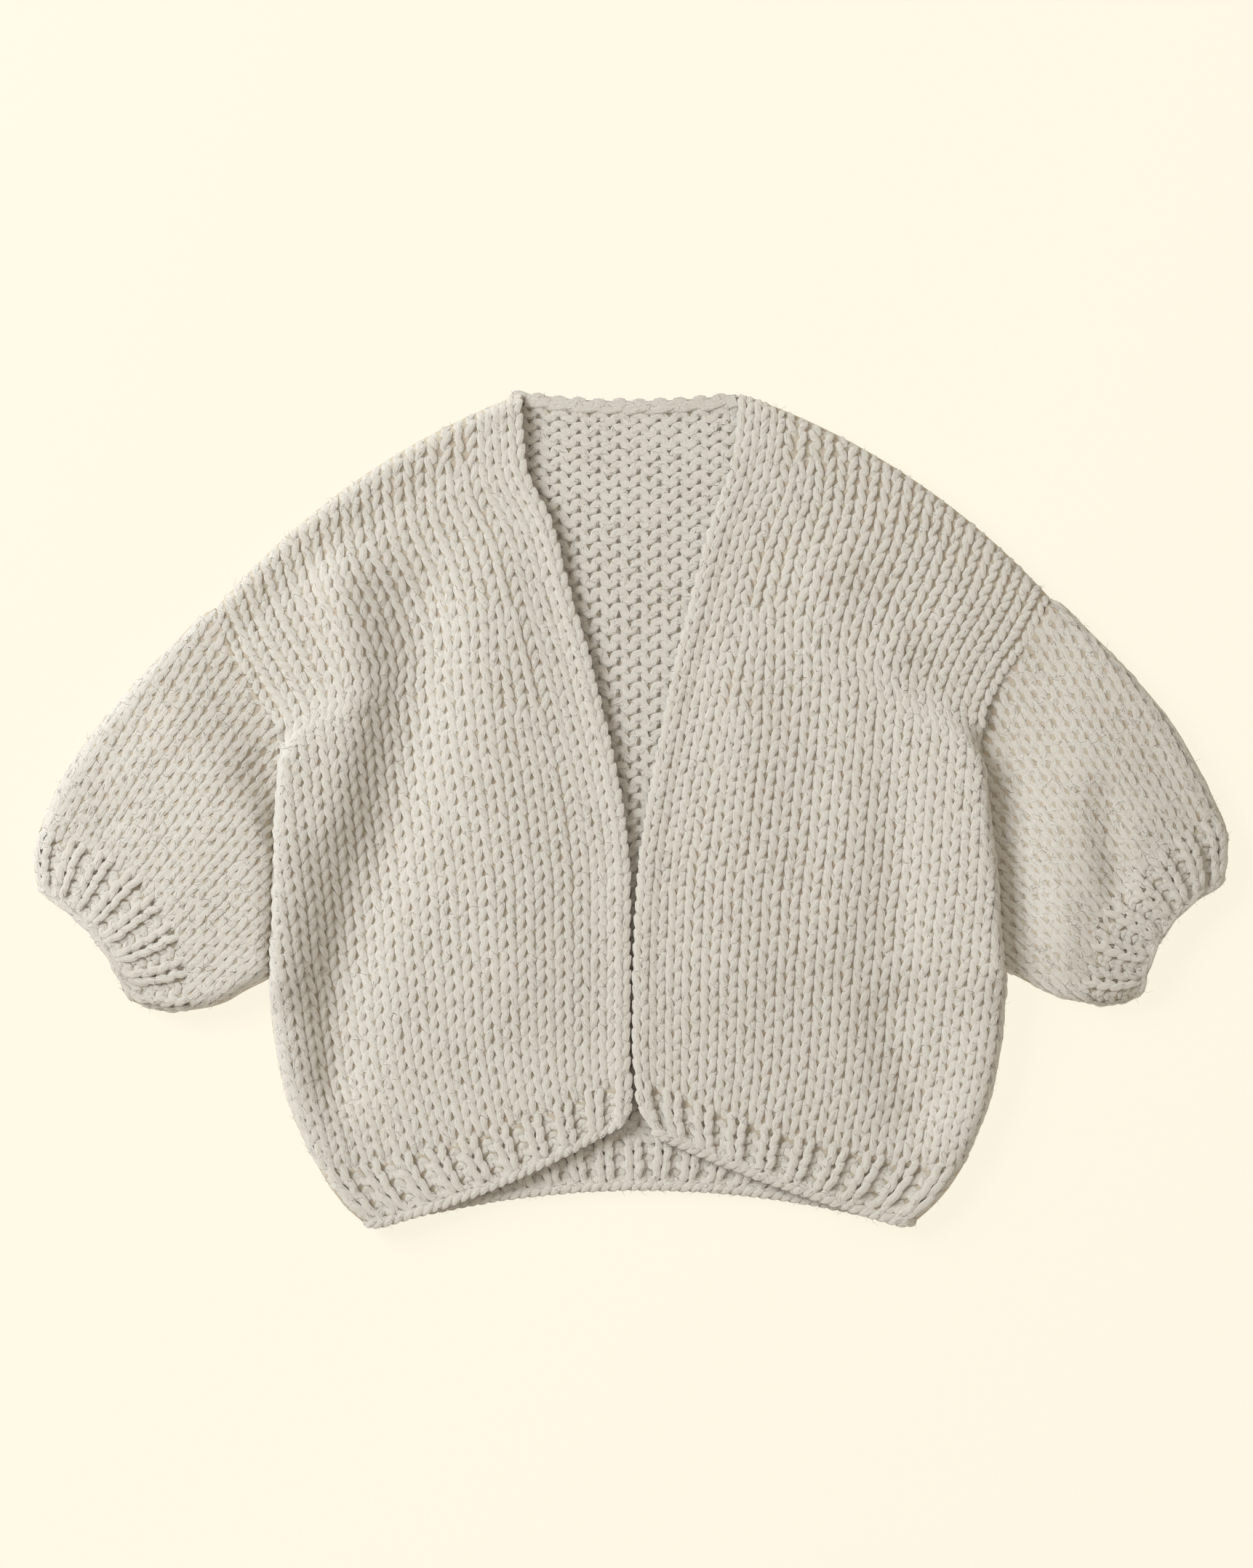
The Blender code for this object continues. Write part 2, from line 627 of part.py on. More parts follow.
def add_cuff(name, cuff, sleeve, front, collection):
    face = CUFF_FACE_RIBS * POINTS_PER_RIB
    length = np.linalg.norm(cuff.plan(1, 0.5) - cuff.plan(0, 0.5))
    face_steps_even = [i / face for i in range(face + 1)]
    base_steps = sleeve_steps(front, sleeve)
    base = cuff.grid(CUFF_STATIONS, face_steps_even, base_steps, CUFF_GAP / length)
    normals = outward_normals(base, True)
    square_to_row(normals, base, 0, True)
    raised = rib_relief(base.shape[1], 0, face)
    outer = base + normals * raised[None, :, None]
    inner = base - WALL * normals
    return make_wall(name, outer, inner, True, RIB_COLOUR, collection)


def back_side(front, sleeve, away):
    """The back's outline on one side in plan: neck corner, shoulder, armhole and side seam."""
    lap_end = SHOULDER_RADIUS + SHOULDER_LAP + SEAM
    lap_line = below_shoulder(front, lap_end)
    last_face = len(TOP_STEPS) - 1
    corner_in = np.array([-away * NECK_CORNER_IN, -1.0])
    places = [below_shoulder(front, 0.0)[0] + corner_in, lap_line[0] + corner_in]
    for column in (3, 5, 7, 9, last_face):
        places.append(lap_line[column])
    width = sleeve.width(0)
    upper_radius, lower_radius = sleeve.face_height(0, 0) / 2, sleeve.face_height(0, 1) / 2
    first, last = upper_radius / width, 1 - lower_radius / width
    shares = [(lap_end + 0.5) / width]
    shares += [first + (last - first) * step for step in sleeve_steps(front, sleeve)[1:]]
    shares += [1.0]
    for share in shares:
        ahead, behind = sleeve.plan(0, min(share + 0.01, 1)), sleeve.plan(0, max(share - 0.01, 0))
        along = unit(ahead - behind)
        across = np.array([-along[1], along[0]])
        if across[0] * away > 0:
            across = -across
        places.append(sleeve.plan(0, share) + across * SEAM)
    for row in [row for row in BODY_ROWS if row >= SIDE_SEAM_ROW]:
        places.append(front.seam_end(row, SEAM))
    return places


def add_back(right_side, left_side, collection):
    """The back panel: level cloth between its two outlines, its neck edge a little rolled."""
    count = len(right_side)
    outer = []
    for r, (right, left) in enumerate(zip(right_side, left_side)):
        neck_share = 1 - smooth(r / 2)
        rib_share = smooth((r - (count - 5)) / 4)
        lift = BACK_RIB_TOP_ARCH * rib_share - BACK_NECK_DIP * neck_share
        height = WALL + NECK_ROLL_RISE * neck_share
        row = []
        for i in range(BACK_STEPS + 1):
            share = i / BACK_STEPS
            x, y = right + (left - right) * share
            row.append((x, y + lift * 4 * share * (1 - share), height))
        outer.append(row)
    outer = np.array(outer)
    inner = outer * np.array([1, 1, 0])
    return make_wall("back", outer, inner, False, WOOL_COLOUR, collection)


def add_back_hem(right_hem, left_hem, collection):
    """The back's rib, with its knit columns raised on the face that shows."""
    columns = BACK_HEM_RIBS * POINTS_PER_RIB
    raised = rib_relief(columns + 1, 0, columns)
    outer = []
    for r in range(HEM_ROWS):
        share_down = r / (HEM_ROWS - 1)
        row = first_hem_row(right_hem) + (right_hem.table.last - first_hem_row(right_hem)) * share_down
        right, left = right_hem.seam_end(row, SEAM), left_hem.seam_end(row, SEAM)
        arch = BACK_RIB_TOP_ARCH + (BACK_EDGE_ARCH - BACK_RIB_TOP_ARCH) * share_down
        line = []
        for i in range(columns + 1):
            share = i / columns
            x, y = right + (left - right) * share
            bulge = 4 * share * (1 - share)
            line.append((x, y + arch * bulge, WALL + raised[i]))
        outer.append(line)
    outer = np.array(outer)
    inner = outer * np.array([1, 1, 0])
    return make_wall("hem_back", outer, inner, False, RIB_COLOUR, collection)


clear_scene()
cardigan = bpy.data.collections.new("short_sleeve_cardigan")
bpy.context.scene.collection.children.link(cardigan)

right_front = Front(RIGHT_FRONT_ROWS, RIGHT_FRONT_FOLDS)
left_front = Front(LEFT_FRONT_ROWS, LEFT_FRONT_FOLDS)
right_hem = Front(RIGHT_HEM_ROWS, RIGHT_FRONT_FOLDS)
left_hem = Front(LEFT_HEM_ROWS, LEFT_FRONT_FOLDS)
right_sleeve = make_sleeve(RIGHT_SLEEVE_ROWS, RIGHT_SLEEVE_FOLDS, right_front, -1)
left_sleeve = make_sleeve(LEFT_SLEEVE_ROWS, LEFT_SLEEVE_FOLDS, left_front, 1)
right_cuff = Tube(RIGHT_CUFF_ROWS, RIGHT_SLEEVE_FOLDS)
left_cuff = Tube(LEFT_CUFF_ROWS, LEFT_SLEEVE_FOLDS)

add_back(back_side(right_front, right_sleeve, -1), back_side(left_front, left_sleeve, 1), cardigan)
add_back_hem(right_hem, left_hem, cardigan)
add_front("front_right", right_front, cardigan)
add_front("front_left", left_front, cardigan)
add_front_hem("hem_front_right", right_hem, cardigan)
add_front_hem("hem_front_left", left_hem, cardigan)
add_sleeve("sleeve_right", right_sleeve, right_front, cardigan)
add_sleeve("sleeve_left", left_sleeve, left_front, cardigan)
add_cuff("cuff_right", right_cuff, right_sleeve, right_front, cardigan)
add_cuff("cuff_left", left_cuff, left_sleeve, left_front, cardigan)
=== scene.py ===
import math

import bpy
import numpy as np
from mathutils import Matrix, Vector
from mathutils.bvhtree import BVHTree


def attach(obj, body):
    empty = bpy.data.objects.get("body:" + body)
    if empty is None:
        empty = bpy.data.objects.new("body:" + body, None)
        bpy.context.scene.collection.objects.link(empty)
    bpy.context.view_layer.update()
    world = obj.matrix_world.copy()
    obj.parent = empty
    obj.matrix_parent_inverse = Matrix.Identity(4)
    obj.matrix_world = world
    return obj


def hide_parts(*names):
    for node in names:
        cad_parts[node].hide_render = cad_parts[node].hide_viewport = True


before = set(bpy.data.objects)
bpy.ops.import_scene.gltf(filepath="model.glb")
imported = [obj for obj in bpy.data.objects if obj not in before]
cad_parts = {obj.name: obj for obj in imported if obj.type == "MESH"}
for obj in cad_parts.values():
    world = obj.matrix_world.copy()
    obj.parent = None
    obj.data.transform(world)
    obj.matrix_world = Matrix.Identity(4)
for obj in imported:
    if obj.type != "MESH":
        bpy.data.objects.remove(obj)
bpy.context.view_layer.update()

MM = 0.001

# The camera looks straight down on the cardigan, from high enough that it hardly tapers. Its view
# takes in the photograph's 2156 rows, at 0.52 mm of cloth for each, measured at the cloth's height.
PHOTO_ROWS = 2156
MM_PER_ROW = 0.52
VIEW_MIDDLE = (-3.5, 19.4)
CLOTH_HEIGHT = 15
LENS = 85.0
SENSOR = 36.0
view_distance = PHOTO_ROWS * MM_PER_ROW * LENS / SENSOR + CLOTH_HEIGHT
camera_data = bpy.data.cameras.new("camera")
camera_data.lens = LENS
camera_data.sensor_width = SENSOR
camera = bpy.data.objects.new("camera", camera_data)
camera.location = (VIEW_MIDDLE[0] * MM, VIEW_MIDDLE[1] * MM, view_distance * MM)
bpy.context.scene.collection.objects.link(camera)
bpy.context.scene.camera = camera


# Shader maths: an expression on these values adds its Math nodes to the material's tree.
class Value:
    def __init__(self, tree, socket):
        self.tree = tree
        self.socket = socket

    def math(self, operation, *others):
        node = self.tree.nodes.new("ShaderNodeMath")
        node.operation = operation
        for place, value in enumerate((self, *others)):
            if isinstance(value, Value):
                self.tree.links.new(value.socket, node.inputs[place])
            else:
                node.inputs[place].default_value = value
        return Value(self.tree, node.outputs[0])

    def __add__(self, other):
        return self.math("ADD", other)

    def __sub__(self, other):
        return self.math("SUBTRACT", other)

    def __mul__(self, other):
        return self.math("MULTIPLY", other)

    def __rsub__(self, other):
        return self.math("MULTIPLY", -1.0).math("ADD", other)

    __radd__ = __add__
    __rmul__ = __mul__


class Finish:
    """A material and the one way that nodes are added to it."""

    def __init__(self, name):
        self.material = bpy.data.materials.new(name)
        self.material.use_nodes = True
        self.tree = self.material.node_tree
        self.shader = self.tree.nodes["Principled BSDF"]

    def node(self, kind, settings=None, **sockets):
        """A node with its settings and its sockets, by name or by number as at0, at6. What comes
        back gives its outputs."""
        node = self.tree.nodes.new("ShaderNode" + kind)
        for key, value in (settings or {}).items():
            if key == "stops":
                ramp = node.color_ramp.elements
                while len(ramp) < len(value):
                    ramp.new(0.5)
                for stop, (place, colour) in zip(ramp, value):
                    stop.position = place
                    stop.color = colour
            else:
                setattr(node, key, value)
        for key, value in sockets.items():
            socket = node.inputs[int(key[2:]) if key.startswith("at") else key.replace("_", " ")]
            if isinstance(value, Value):
                self.tree.links.new(value.socket, socket)
            else:
                socket.default_value = value
        return lambda out=0: Value(self.tree, node.outputs[out])

    def feed(self, name, value):
        socket = self.shader.inputs[name]
        if isinstance(value, Value):
            self.tree.links.new(value.socket, socket)
        else:
            socket.default_value = value


# The surface that it lies on: a wide, smooth, pale cream sheet of studio paper, lit from the upper
# left by one broad soft light, with a weaker one opposite and an even glow from above.
PAPER_COLOUR = (1.0, 0.947, 0.80, 1.0)
PAPER_SHADE = (0.12, 0.113, 0.094, 1.0)
PAPER_SIZE = 60.0
PAPER_HEIGHT = -0.0008
PAPER_GRAIN = 6750.0
PAPER_GLOW = 0.9
GLOW_COLOUR = (1.0, 0.895, 0.745, 1.0)
GLOW_STRENGTH = 0.40
bpy.ops.object.select_all(action="DESELECT")
bpy.ops.mesh.primitive_plane_add(size=PAPER_SIZE, location=(0, 0, PAPER_HEIGHT))
floor = bpy.context.object
floor.name = "floor"
paper = Finish("cream_paper")
grain = paper.node("TexNoise", Scale=PAPER_GRAIN, Detail=2.0)
paper.feed("Base Color", PAPER_SHADE)
paper.feed("Roughness", 1.0)
paper.feed("Specular IOR Level", 0.0)
paper.feed("Emission Color", PAPER_COLOUR)
paper.feed("Emission Strength", PAPER_GLOW)
paper.feed("Normal", paper.node("Bump", Strength=0.05, Distance=0.0002, Height=grain())())
floor.data.materials.append(paper.material)

bpy.context.scene.view_settings.view_transform = "Standard"
world = bpy.data.worlds.new("studio")
world.use_nodes = True
glow = world.node_tree.nodes["Background"]
glow.inputs["Color"].default_value = GLOW_COLOUR
glow.inputs["Strength"].default_value = GLOW_STRENGTH
bpy.context.scene.world = world


def add_light(name, place, size, power, colour):
    data = bpy.data.lights.new(name, "AREA")
    data.shape = "DISK"
    data.size = size
    data.energy = power
    data.color = colour
    light = bpy.data.objects.new(name, data)
    light.location = place
    light.rotation_euler = (-Vector(place)).to_track_quat("-Z", "Y").to_euler()
    bpy.context.scene.collection.objects.link(light)


add_light("key", place=(-2.85, 1.6, 2.4), size=2.2, power=133.0, colour=(0.945, 0.98, 1.0))
add_light("fill", place=(2.2, -1.2, 3.4), size=2.6, power=6.0, colour=(1.0, 0.97, 0.93))


# The two fronts: stocking-stitch panels of super-chunky wool, laid on the back. Each is worked up
# from its rib, loses a few stitches along the neck beside an edge of three, and is turned round at
# the shoulder, over the sleeve and down the side to meet the back.

# A row for each section, from the shoulder down to the top of the rib, in millimetres. The edge is
# the open front edge and the side is the outermost point of the fold. bow lifts the middle of a
# row. rest is the face's height where the panel lies on the back, top its height at the side,
# under the height of the cloth's end once it has turned through turn degrees, tuck the length
# that goes on past the turn, and reach how far in from the side the fold's height fades.
FRONT_COLUMNS = (
    "edge_x", "edge_y", "side_x", "side_y", "bow", "rest", "top", "under", "turn", "tuck", "reach",
)
RIGHT_FRONT_ROWS = (
    (-79, 298.5, -298, 145, 17, 15.5, 17, 17, 0, 2, 60),
    (-76, 250, -282, 108, 16, 15.5, 17, 17, 0, 2, 60),
    (-57, 207, -265, 79, 12, 15.5, 18, 18, 0, 2, 70),
    (-45, 162, -252.5, 57, 8, 15.5, 21.5, 21.5, 0, 2, 76),
    (-38, 138, -252, 45, 6, 15.5, 25, 14.5, 60, 1, 80),
    (-32, 118, -253, 32, 5, 15.5, 28, 14, 130, 2, 80),
    (-22, 77, -255.5, -1, 3, 15.5, 29.5, 14, 180, 5, 72),
    (-12, 35, -257, -35, 2, 15.5, 30.5, 14, 180, 7, 62),
    (-5, -4, -257.5, -66, 1, 15.5, 30.5, 14, 180, 7, 54),
    (-1.2, -45, -258.5, -97, 0, 15.5, 30, 14, 180, 7, 46),
    (-0.8, -82, -259, -121, 0, 15.5, 30, 14, 180, 7, 40),
    (-0.8, -95, -259, -132, 0, 15.5, 28, 9.6, 180, 4, 38),
    (-0.8, -121, -258.5, -150, 0, 15.5, 23, 0, 180, 3.5, 34),
    (-0.8, -150, -255, -175, -1, 15.5, 22, 0, 180, 3.5, 32),
    (-0.8, -172, -248, -207, -3, 15.5, 21, 0, 180, 3.5, 30),
    (-0.8, -183, -237, -234, -6, 15.8, 20, 0, 180, 3.5, 30),
    (-0.8, -190, -224, -259, -8, 16, 19, 0, 180, 3.5, 30),
)
LEFT_FRONT_ROWS = (
    (78, 298.5, 300.5, 152, 17, 15.5, 17, 17, 0, 2, 60),
    (72, 250, 281, 117, 16, 15.5, 17, 17, 0, 2, 60),
    (57, 207, 264, 93, 12, 15.5, 18, 18, 0, 2, 60),
    (45, 162, 251, 63, 8, 15.5, 21, 21, 0, 2, 56),
    (39.5, 140, 250.6, 47, 6, 15.5, 25.5, 14.5, 60, 1, 62),
    (34, 118, 253, 31, 5, 15.5, 29.5, 14, 126, 2, 76),
    (25.5, 77, 257, 1, 3, 15.5, 30.5, 14, 180, 5, 76),
    (17, 35, 260.5, -30, 2, 15.5, 30.5, 14, 180, 7, 76),
    (10, -4, 263.5, -61, 1, 15.5, 30.5, 14, 180, 7, 74),
    (4.5, -43, 265.5, -92, 0, 15.5, 30, 14, 180, 7, 70),
    (2.5, -81, 268, -117, 0, 15.5, 30, 14, 180, 7, 66),
    (1.8, -95, 268.5, -128, 0, 15.5, 28, 9.6, 180, 4, 62),
    (1, -121, 268, -150, 0, 15.5, 23, 0, 180, 3.5, 54),
    (1, -150, 264.5, -178, -1, 15.5, 22, 0, 180, 3.5, 34),
    (1, -172, 258.5, -207, -4, 15.5, 21, 0, 180, 3.5, 34),
    (1.6, -183, 249, -233, -7, 15.8, 20, 0, 180, 3.5, 34),
    (2.6, -191, 238, -257, -10, 16, 19, 0, 180, 3.5, 34),
)
# Soft folds: height above the cloth around them, half width, and the line that each follows
RIGHT_FRONT_FOLDS = (
    (-6.0, 24, (
        (-150, 150), (-153, 90), (-160, 40), (-170, -11), (-190, -72), (-206, -127), (-212, -190),
    )),
    (9.0, 24, ((-212, 165), (-203, 121), (-206, 58), (-216, 0))),
    (4.0, 40, ((-105, 150), (-100, 20), (-85, -110))),
)
LEFT_FRONT_FOLDS = (
    (4.0, 30, ((140, 165), (154, 95), (167, 27), (150, -80))),
    (5.0, 24, ((192, 110), (207, 40), (216, -38), (220, -100))),
    (3.0, 20, ((240, 131), (238, 79))),
    (3.0, 40, ((85, 80), (80, -110))),
    (-5.0, 20, ((184, -150), (200, -215))),
)
# Where the stitches lie, by the fronts' row. side_stitch and edge_stitch number the columns of
# stitches at the side and at the open edge, and the three pitches are the height of a course there.
STITCH_COLUMNS = ("row", "side_stitch", "edge_stitch", "edge_pitch", "middle_pitch", "side_pitch")
FRONT_STITCHES = (
    (0, 1.6, 17.2, 11.0, 10.4, 7.9),
    (1, 1.6, 17.6, 11.0, 10.9, 8.0),
    (2, 1.6, 18.0, 10.8, 11.6, 8.4),
    (3, 1.6, 18.4, 10.6, 12.0, 9.2),
    (4, 1.6, 18.8, 10.4, 11.8, 10.0),
    (5, 1.5, 19.1, 10.0, 11.5, 10.4),
    (6, 1.0, 19.6, 9.8, 11.0, 10.4),
    (8, 0.3, 20.0, 9.8, 10.8, 10.4),
    (10, -0.4, 20.0, 10.0, 11.0, 10.8),
    (12, -0.9, 20.0, 10.2, 11.2, 10.8),
    (14, -0.9, 20.0, 10.4, 11.2, 10.4),
    (15, -0.6, 20.0, 10.4, 11.2, 10.2),
    (16, 0.0, 20.0, 10.4, 11.0, 10.0),
)
# The band of stitches along the open edge, outside the line of decreases
EDGE_STITCHES = 3
EDGE_STITCH_WIDTH = 11.6
BAND = EDGE_STITCHES * EDGE_STITCH_WIDTH
# The open edge: how high its soft roll stands and how far in, and how far in the folds are whole
EDGE_ROLL_RISE = 1.4
EDGE_ROLL_IN = 6.0
EDGE_FADE = 45.0
# The shoulder: its height and turn, the lap under it, and how far down its height fades, measured
# a little way in from the side
SHOULDER_TOP = 17.0
SHOULDER_RADIUS = SHOULDER_TOP / 2
SHOULDER_LAP = 4.0
SHOULDER_FADE = 62.0
SHOULDER_MEASURED_IN = 60.0
# The dip below the shoulder's turn: its depth, its place and width as shares of that fade, and
# how far from the open edge it is whole
DIP_DEPTH = 1.4
DIP_PLACE = 0.68
DIP_WIDTH = 0.2
DIP_FADE = 90.0
# A side that has not turned yet runs level, and one that has turned a quarter is shorter
LEAST_TURN = 0.001
LEVEL_RUN = 24.0
QUARTER_RUN = 20.0


def smooth(share):
    """Ease from 0 to 1, level at both ends."""
    share = np.clip(share, 0.0, 1.0)
    return share * share * (3 - 2 * share)


class Sections:
    """A table of sections. Between two rows a value follows a smooth curve without overshoot."""

    def __init__(self, columns, rows):
        self.columns = {name: place for place, name in enumerate(columns)}
        self.rows = np.array(rows, float)
        steps = np.diff(self.rows, axis=0)
        before, after = steps[:-1], steps[1:]
        same_way = before * after > 0
        total = np.where(same_way, before + after, 1.0)
        inner = np.where(same_way, 2 * before * after / total, 0.0)
        self.slopes = np.vstack([steps[:1], inner, steps[-1:]])
        self.last = len(rows) - 1

    def value(self, name, row):
        row = np.asarray(row, float)
        column = self.columns[name]
        first = np.clip(np.floor(row).astype(int), 0, self.last - 1)
        share = np.clip(row - first, 0, 1)
        low, high = self.rows[first, column], self.rows[first + 1, column]
        bend_in = share * (1 - share) ** 2 * self.slopes[first, column]
        bend_out = share * share * (share - 1) * self.slopes[first + 1, column]
        return low + (high - low) * smooth(share) + bend_in + bend_out

    def point(self, name, row):
        return np.stack([self.value(name + "_x", row), self.value(name + "_y", row)], -1)


def fold_height(places, folds):
    """Height that the soft folds add at places in plan."""
    height = np.zeros(places.shape[:-1])
    for rise, width, line in folds:
        nearest = np.full(height.shape, 1e9)
        for start, end in zip(line, line[1:]):
            start, along = np.array(start, float), np.subtract(end, start)
            share = np.clip((places - start) @ along / (along @ along), 0, 1)
            away = places - start - along * share[..., None]
            nearest = np.minimum(nearest, np.hypot(away[..., 0], away[..., 1]))
        height += rise * np.exp(-(nearest / width) ** 2)
    return height


def grid_normals(grid, closed=False):
    """Unit normals of a grid of points, row by column, pointing up on most of it."""
    down = np.gradient(grid, axis=0)
    if closed:
        across = np.roll(grid, -1, axis=1) - np.roll(grid, 1, axis=1)
    else:
        across = np.gradient(grid, axis=1)
    normals = np.cross(across, down)
    normals /= np.maximum(np.linalg.norm(normals, axis=2, keepdims=True), 1e-9)
    middle = np.median(normals[..., 2])
    return normals if middle > 0 else -normals


# How far outside the cloth's own numbers a place may fall and still be on it
ON_CLOTH = 0.02


class Cloth:
    """The outer surface of a piece as a fine grid, and the stitch and course number at each point."""

    def __init__(self, grid, normals, stitch, course):
        self.points = grid.reshape(-1, 3)
        self.normals = normals.reshape(-1, 3)
        self.flat = np.stack([stitch, course, np.zeros_like(stitch)], -1).reshape(-1, 3)
        rows, columns = stitch.shape
        corner = (np.arange(rows - 1)[:, None] * columns + np.arange(columns - 1)).ravel()
        self.faces = np.vstack([
            np.stack([corner, corner + 1, corner + columns], 1),
            np.stack([corner + 1, corner + columns + 1, corner + columns], 1),
        ])
        self.tree = BVHTree.FromPolygons(self.flat.tolist(), self.faces.tolist())

    def find(self, places):
        """Point and normal on the cloth at each stitch and course number, and whether it is there."""
        hits = [self.tree.find_nearest((u, v, 0.0)) for u, v in places]
        faces = self.faces[[hit[2] for hit in hits]]
        off = np.array([hit[3] for hit in hits])
        near = np.array([hit[0][:2] for hit in hits])
        a, b, c = (self.flat[faces[:, i], :2] for i in range(3))
        ab, ac, ap = b - a, c - a, near - a
        area = ab[:, 0] * ac[:, 1] - ab[:, 1] * ac[:, 0]
        area = np.where(np.abs(area) < 1e-12, 1e-12, area)
        wb = (ap[:, 0] * ac[:, 1] - ap[:, 1] * ac[:, 0]) / area
        wc = (ab[:, 0] * ap[:, 1] - ab[:, 1] * ap[:, 0]) / area
        weights = np.stack([1 - wb - wc, wb, wc], 1)[:, :, None]
        point = (self.points[faces] * weights).sum(1)
        normal = (self.normals[faces] * weights).sum(1)
        return point, normal / np.linalg.norm(normal, axis=1, keepdims=True), off < ON_CLOTH


class Front:
    """One front panel: rows of cloth from the open edge out to the side and round it."""

    def __init__(self, rows, folds):
        self.table = Sections(FRONT_COLUMNS, rows)
        self.folds = folds

    def plan(self, row, inward):
        """Places in plan at distances inward from the side along rows."""
        side, edge = self.table.point("side", row), self.table.point("edge", row)
        length = np.hypot(*np.moveaxis(edge - side, -1, 0))
        along = (edge - side) / length[..., None]
        across = np.stack([-along[..., 1], along[..., 0]], -1)
        across = across * np.sign(across[..., 1:2])
        share = inward / length
        arch = self.table.value("bow", row) * 4 * share * (1 - share)
        return side + along * inward[..., None] + across * arch[..., None]

    def length(self, row):
        ends = self.table.point("edge", row) - self.table.point("side", row)
        return np.hypot(ends[..., 0], ends[..., 1])

    def turn_of(self, row):
        """Angle and radius of the cloth's turn at the side, where it starts, and the tuck past it."""
        angle = np.radians(self.table.value("turn", row))
        tuck = self.table.value("tuck", row)
        drop = self.table.value("top", row) - self.table.value("under", row) - tuck * np.sin(angle)
        folded = angle > math.pi / 2
        least = np.maximum(angle, LEAST_TURN)
        arc = LEVEL_RUN + (QUARTER_RUN - LEVEL_RUN) * least / (math.pi / 2)
        radius = np.where(folded, drop / (1 - np.cos(least)), arc / least)
        start = np.where(folded, radius, radius * np.sin(least) + tuck * np.cos(least))
        return least, radius, start, tuck

    def face_height(self, row, inward, start, shoulder_share):
        """Height of the panel's outer face, from its folds, its side and the shoulder."""
        from_edge = self.length(row) - inward
        height = self.table.value("rest", row)
        height = height + fold_height(self.plan(row, inward), self.folds) * smooth(from_edge / EDGE_FADE)
        height = height + EDGE_ROLL_RISE * np.exp(-((from_edge - EDGE_ROLL_IN) / EDGE_ROLL_IN) ** 2)
        side_share = 1 - smooth((inward - start) / self.table.value("reach", row))
        height = height + (self.table.value("top", row) - height) * side_share
        height = height + (SHOULDER_TOP - height) * shoulder_share
        dip = DIP_DEPTH * np.exp(-((shoulder_share - DIP_PLACE) / DIP_WIDTH) ** 2)
        return height - dip * smooth(from_edge / DIP_FADE)

    def points(self, row, step, shoulder_share):
        """Points at steps across: 0 to 1 from the edge to the turn, then round it, then the tuck."""
        row, step = np.broadcast_arrays(np.asarray(row, float), np.asarray(step, float))
        angle, radius, start, tuck = self.turn_of(row)
        length = self.length(row)
        turned = angle * np.clip(step - 1, 0, 1)
        past = tuck * np.clip(step - 2, 0, 1)
        face = length + (start - length) * np.clip(step, 0, 1)
        inward = face - radius * np.sin(turned) - past * np.cos(turned)
        height = self.face_height(row, face, start, shoulder_share)
        height = height - radius * (1 - np.cos(turned)) - past * np.sin(turned)
        return np.concatenate([self.plan(row, inward), height[..., None]], -1)

    def shoulder_share(self, row):
        """How much of the shoulder's height is left at rows."""
        inward = np.full_like(row, SHOULDER_MEASURED_IN)
        run = self.plan(row, inward) - self.plan(np.zeros_like(row), inward)
        return 1 - smooth((np.hypot(run[..., 0], run[..., 1]) - SHOULDER_RADIUS) / SHOULDER_FADE)

    def over_shoulder(self, steps, turns, lap):
        """Rows of points round the shoulder, from the lap under it up to the face."""
        outline = self.points(0.0, steps, 1.0)[:, :2]
        below = self.points(1.0, steps, 1.0)[:, :2]
        size = np.linalg.norm(below - outline, axis=1)
        rows = []
        places = [(SHOULDER_RADIUS + SHOULDER_LAP, 0.0)] if lap else []
        for turn in turns:
            inward, height = 1 - math.sin(turn), 1 + math.cos(turn)
            places.append((SHOULDER_RADIUS * inward, SHOULDER_RADIUS * height))
        for inward, height in places:
            plan = self.points(inward / size, steps, 1.0)[:, :2]
            rows.append(np.column_stack([plan, np.full(len(steps), height)]))
        return np.array(rows)

    def grid(self, rows, steps):
        """Rows of a rib, which has no shoulder."""
        return self.points(np.asarray(rows, float)[:, None], np.asarray(steps, float)[None, :], 0.0)

    def whole_grid(self, rows, steps, turns, lap=False):
        """Rows of a panel, from its shoulder's turn down."""
        share = self.shoulder_share(rows)[:, None]
        face = self.points(rows[:, None], steps[None, :], share)
        return np.vstack([self.over_shoulder(steps, turns, lap), face])

    def seam_end(self, row, gap=0.0):
        """Where rows end in plan, on the armhole or side seam, moved inward by a gap."""
        angle, radius, start, tuck = self.turn_of(row)
        return self.plan(row, start - radius * np.sin(angle) - tuck * np.cos(angle) + gap)


# Moves the tables' places so that the whole garment is centred on the origin
CENTRING = np.array([0.0, 1.47, 0.0])


def build_mesh(name, points, faces, finish):
    """A piece of cloth or yarn, from points in the tables' millimetres."""
    mesh = bpy.data.meshes.new(name)
    mesh.from_pydata(((points + CENTRING) * MM).tolist(), [], faces)
    mesh.update()
    mesh.shade_smooth()
    piece = bpy.data.objects.new(name, mesh)
    bpy.context.scene.collection.objects.link(piece)
    mesh.materials.append(finish)
    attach(piece, "root")
    return piece


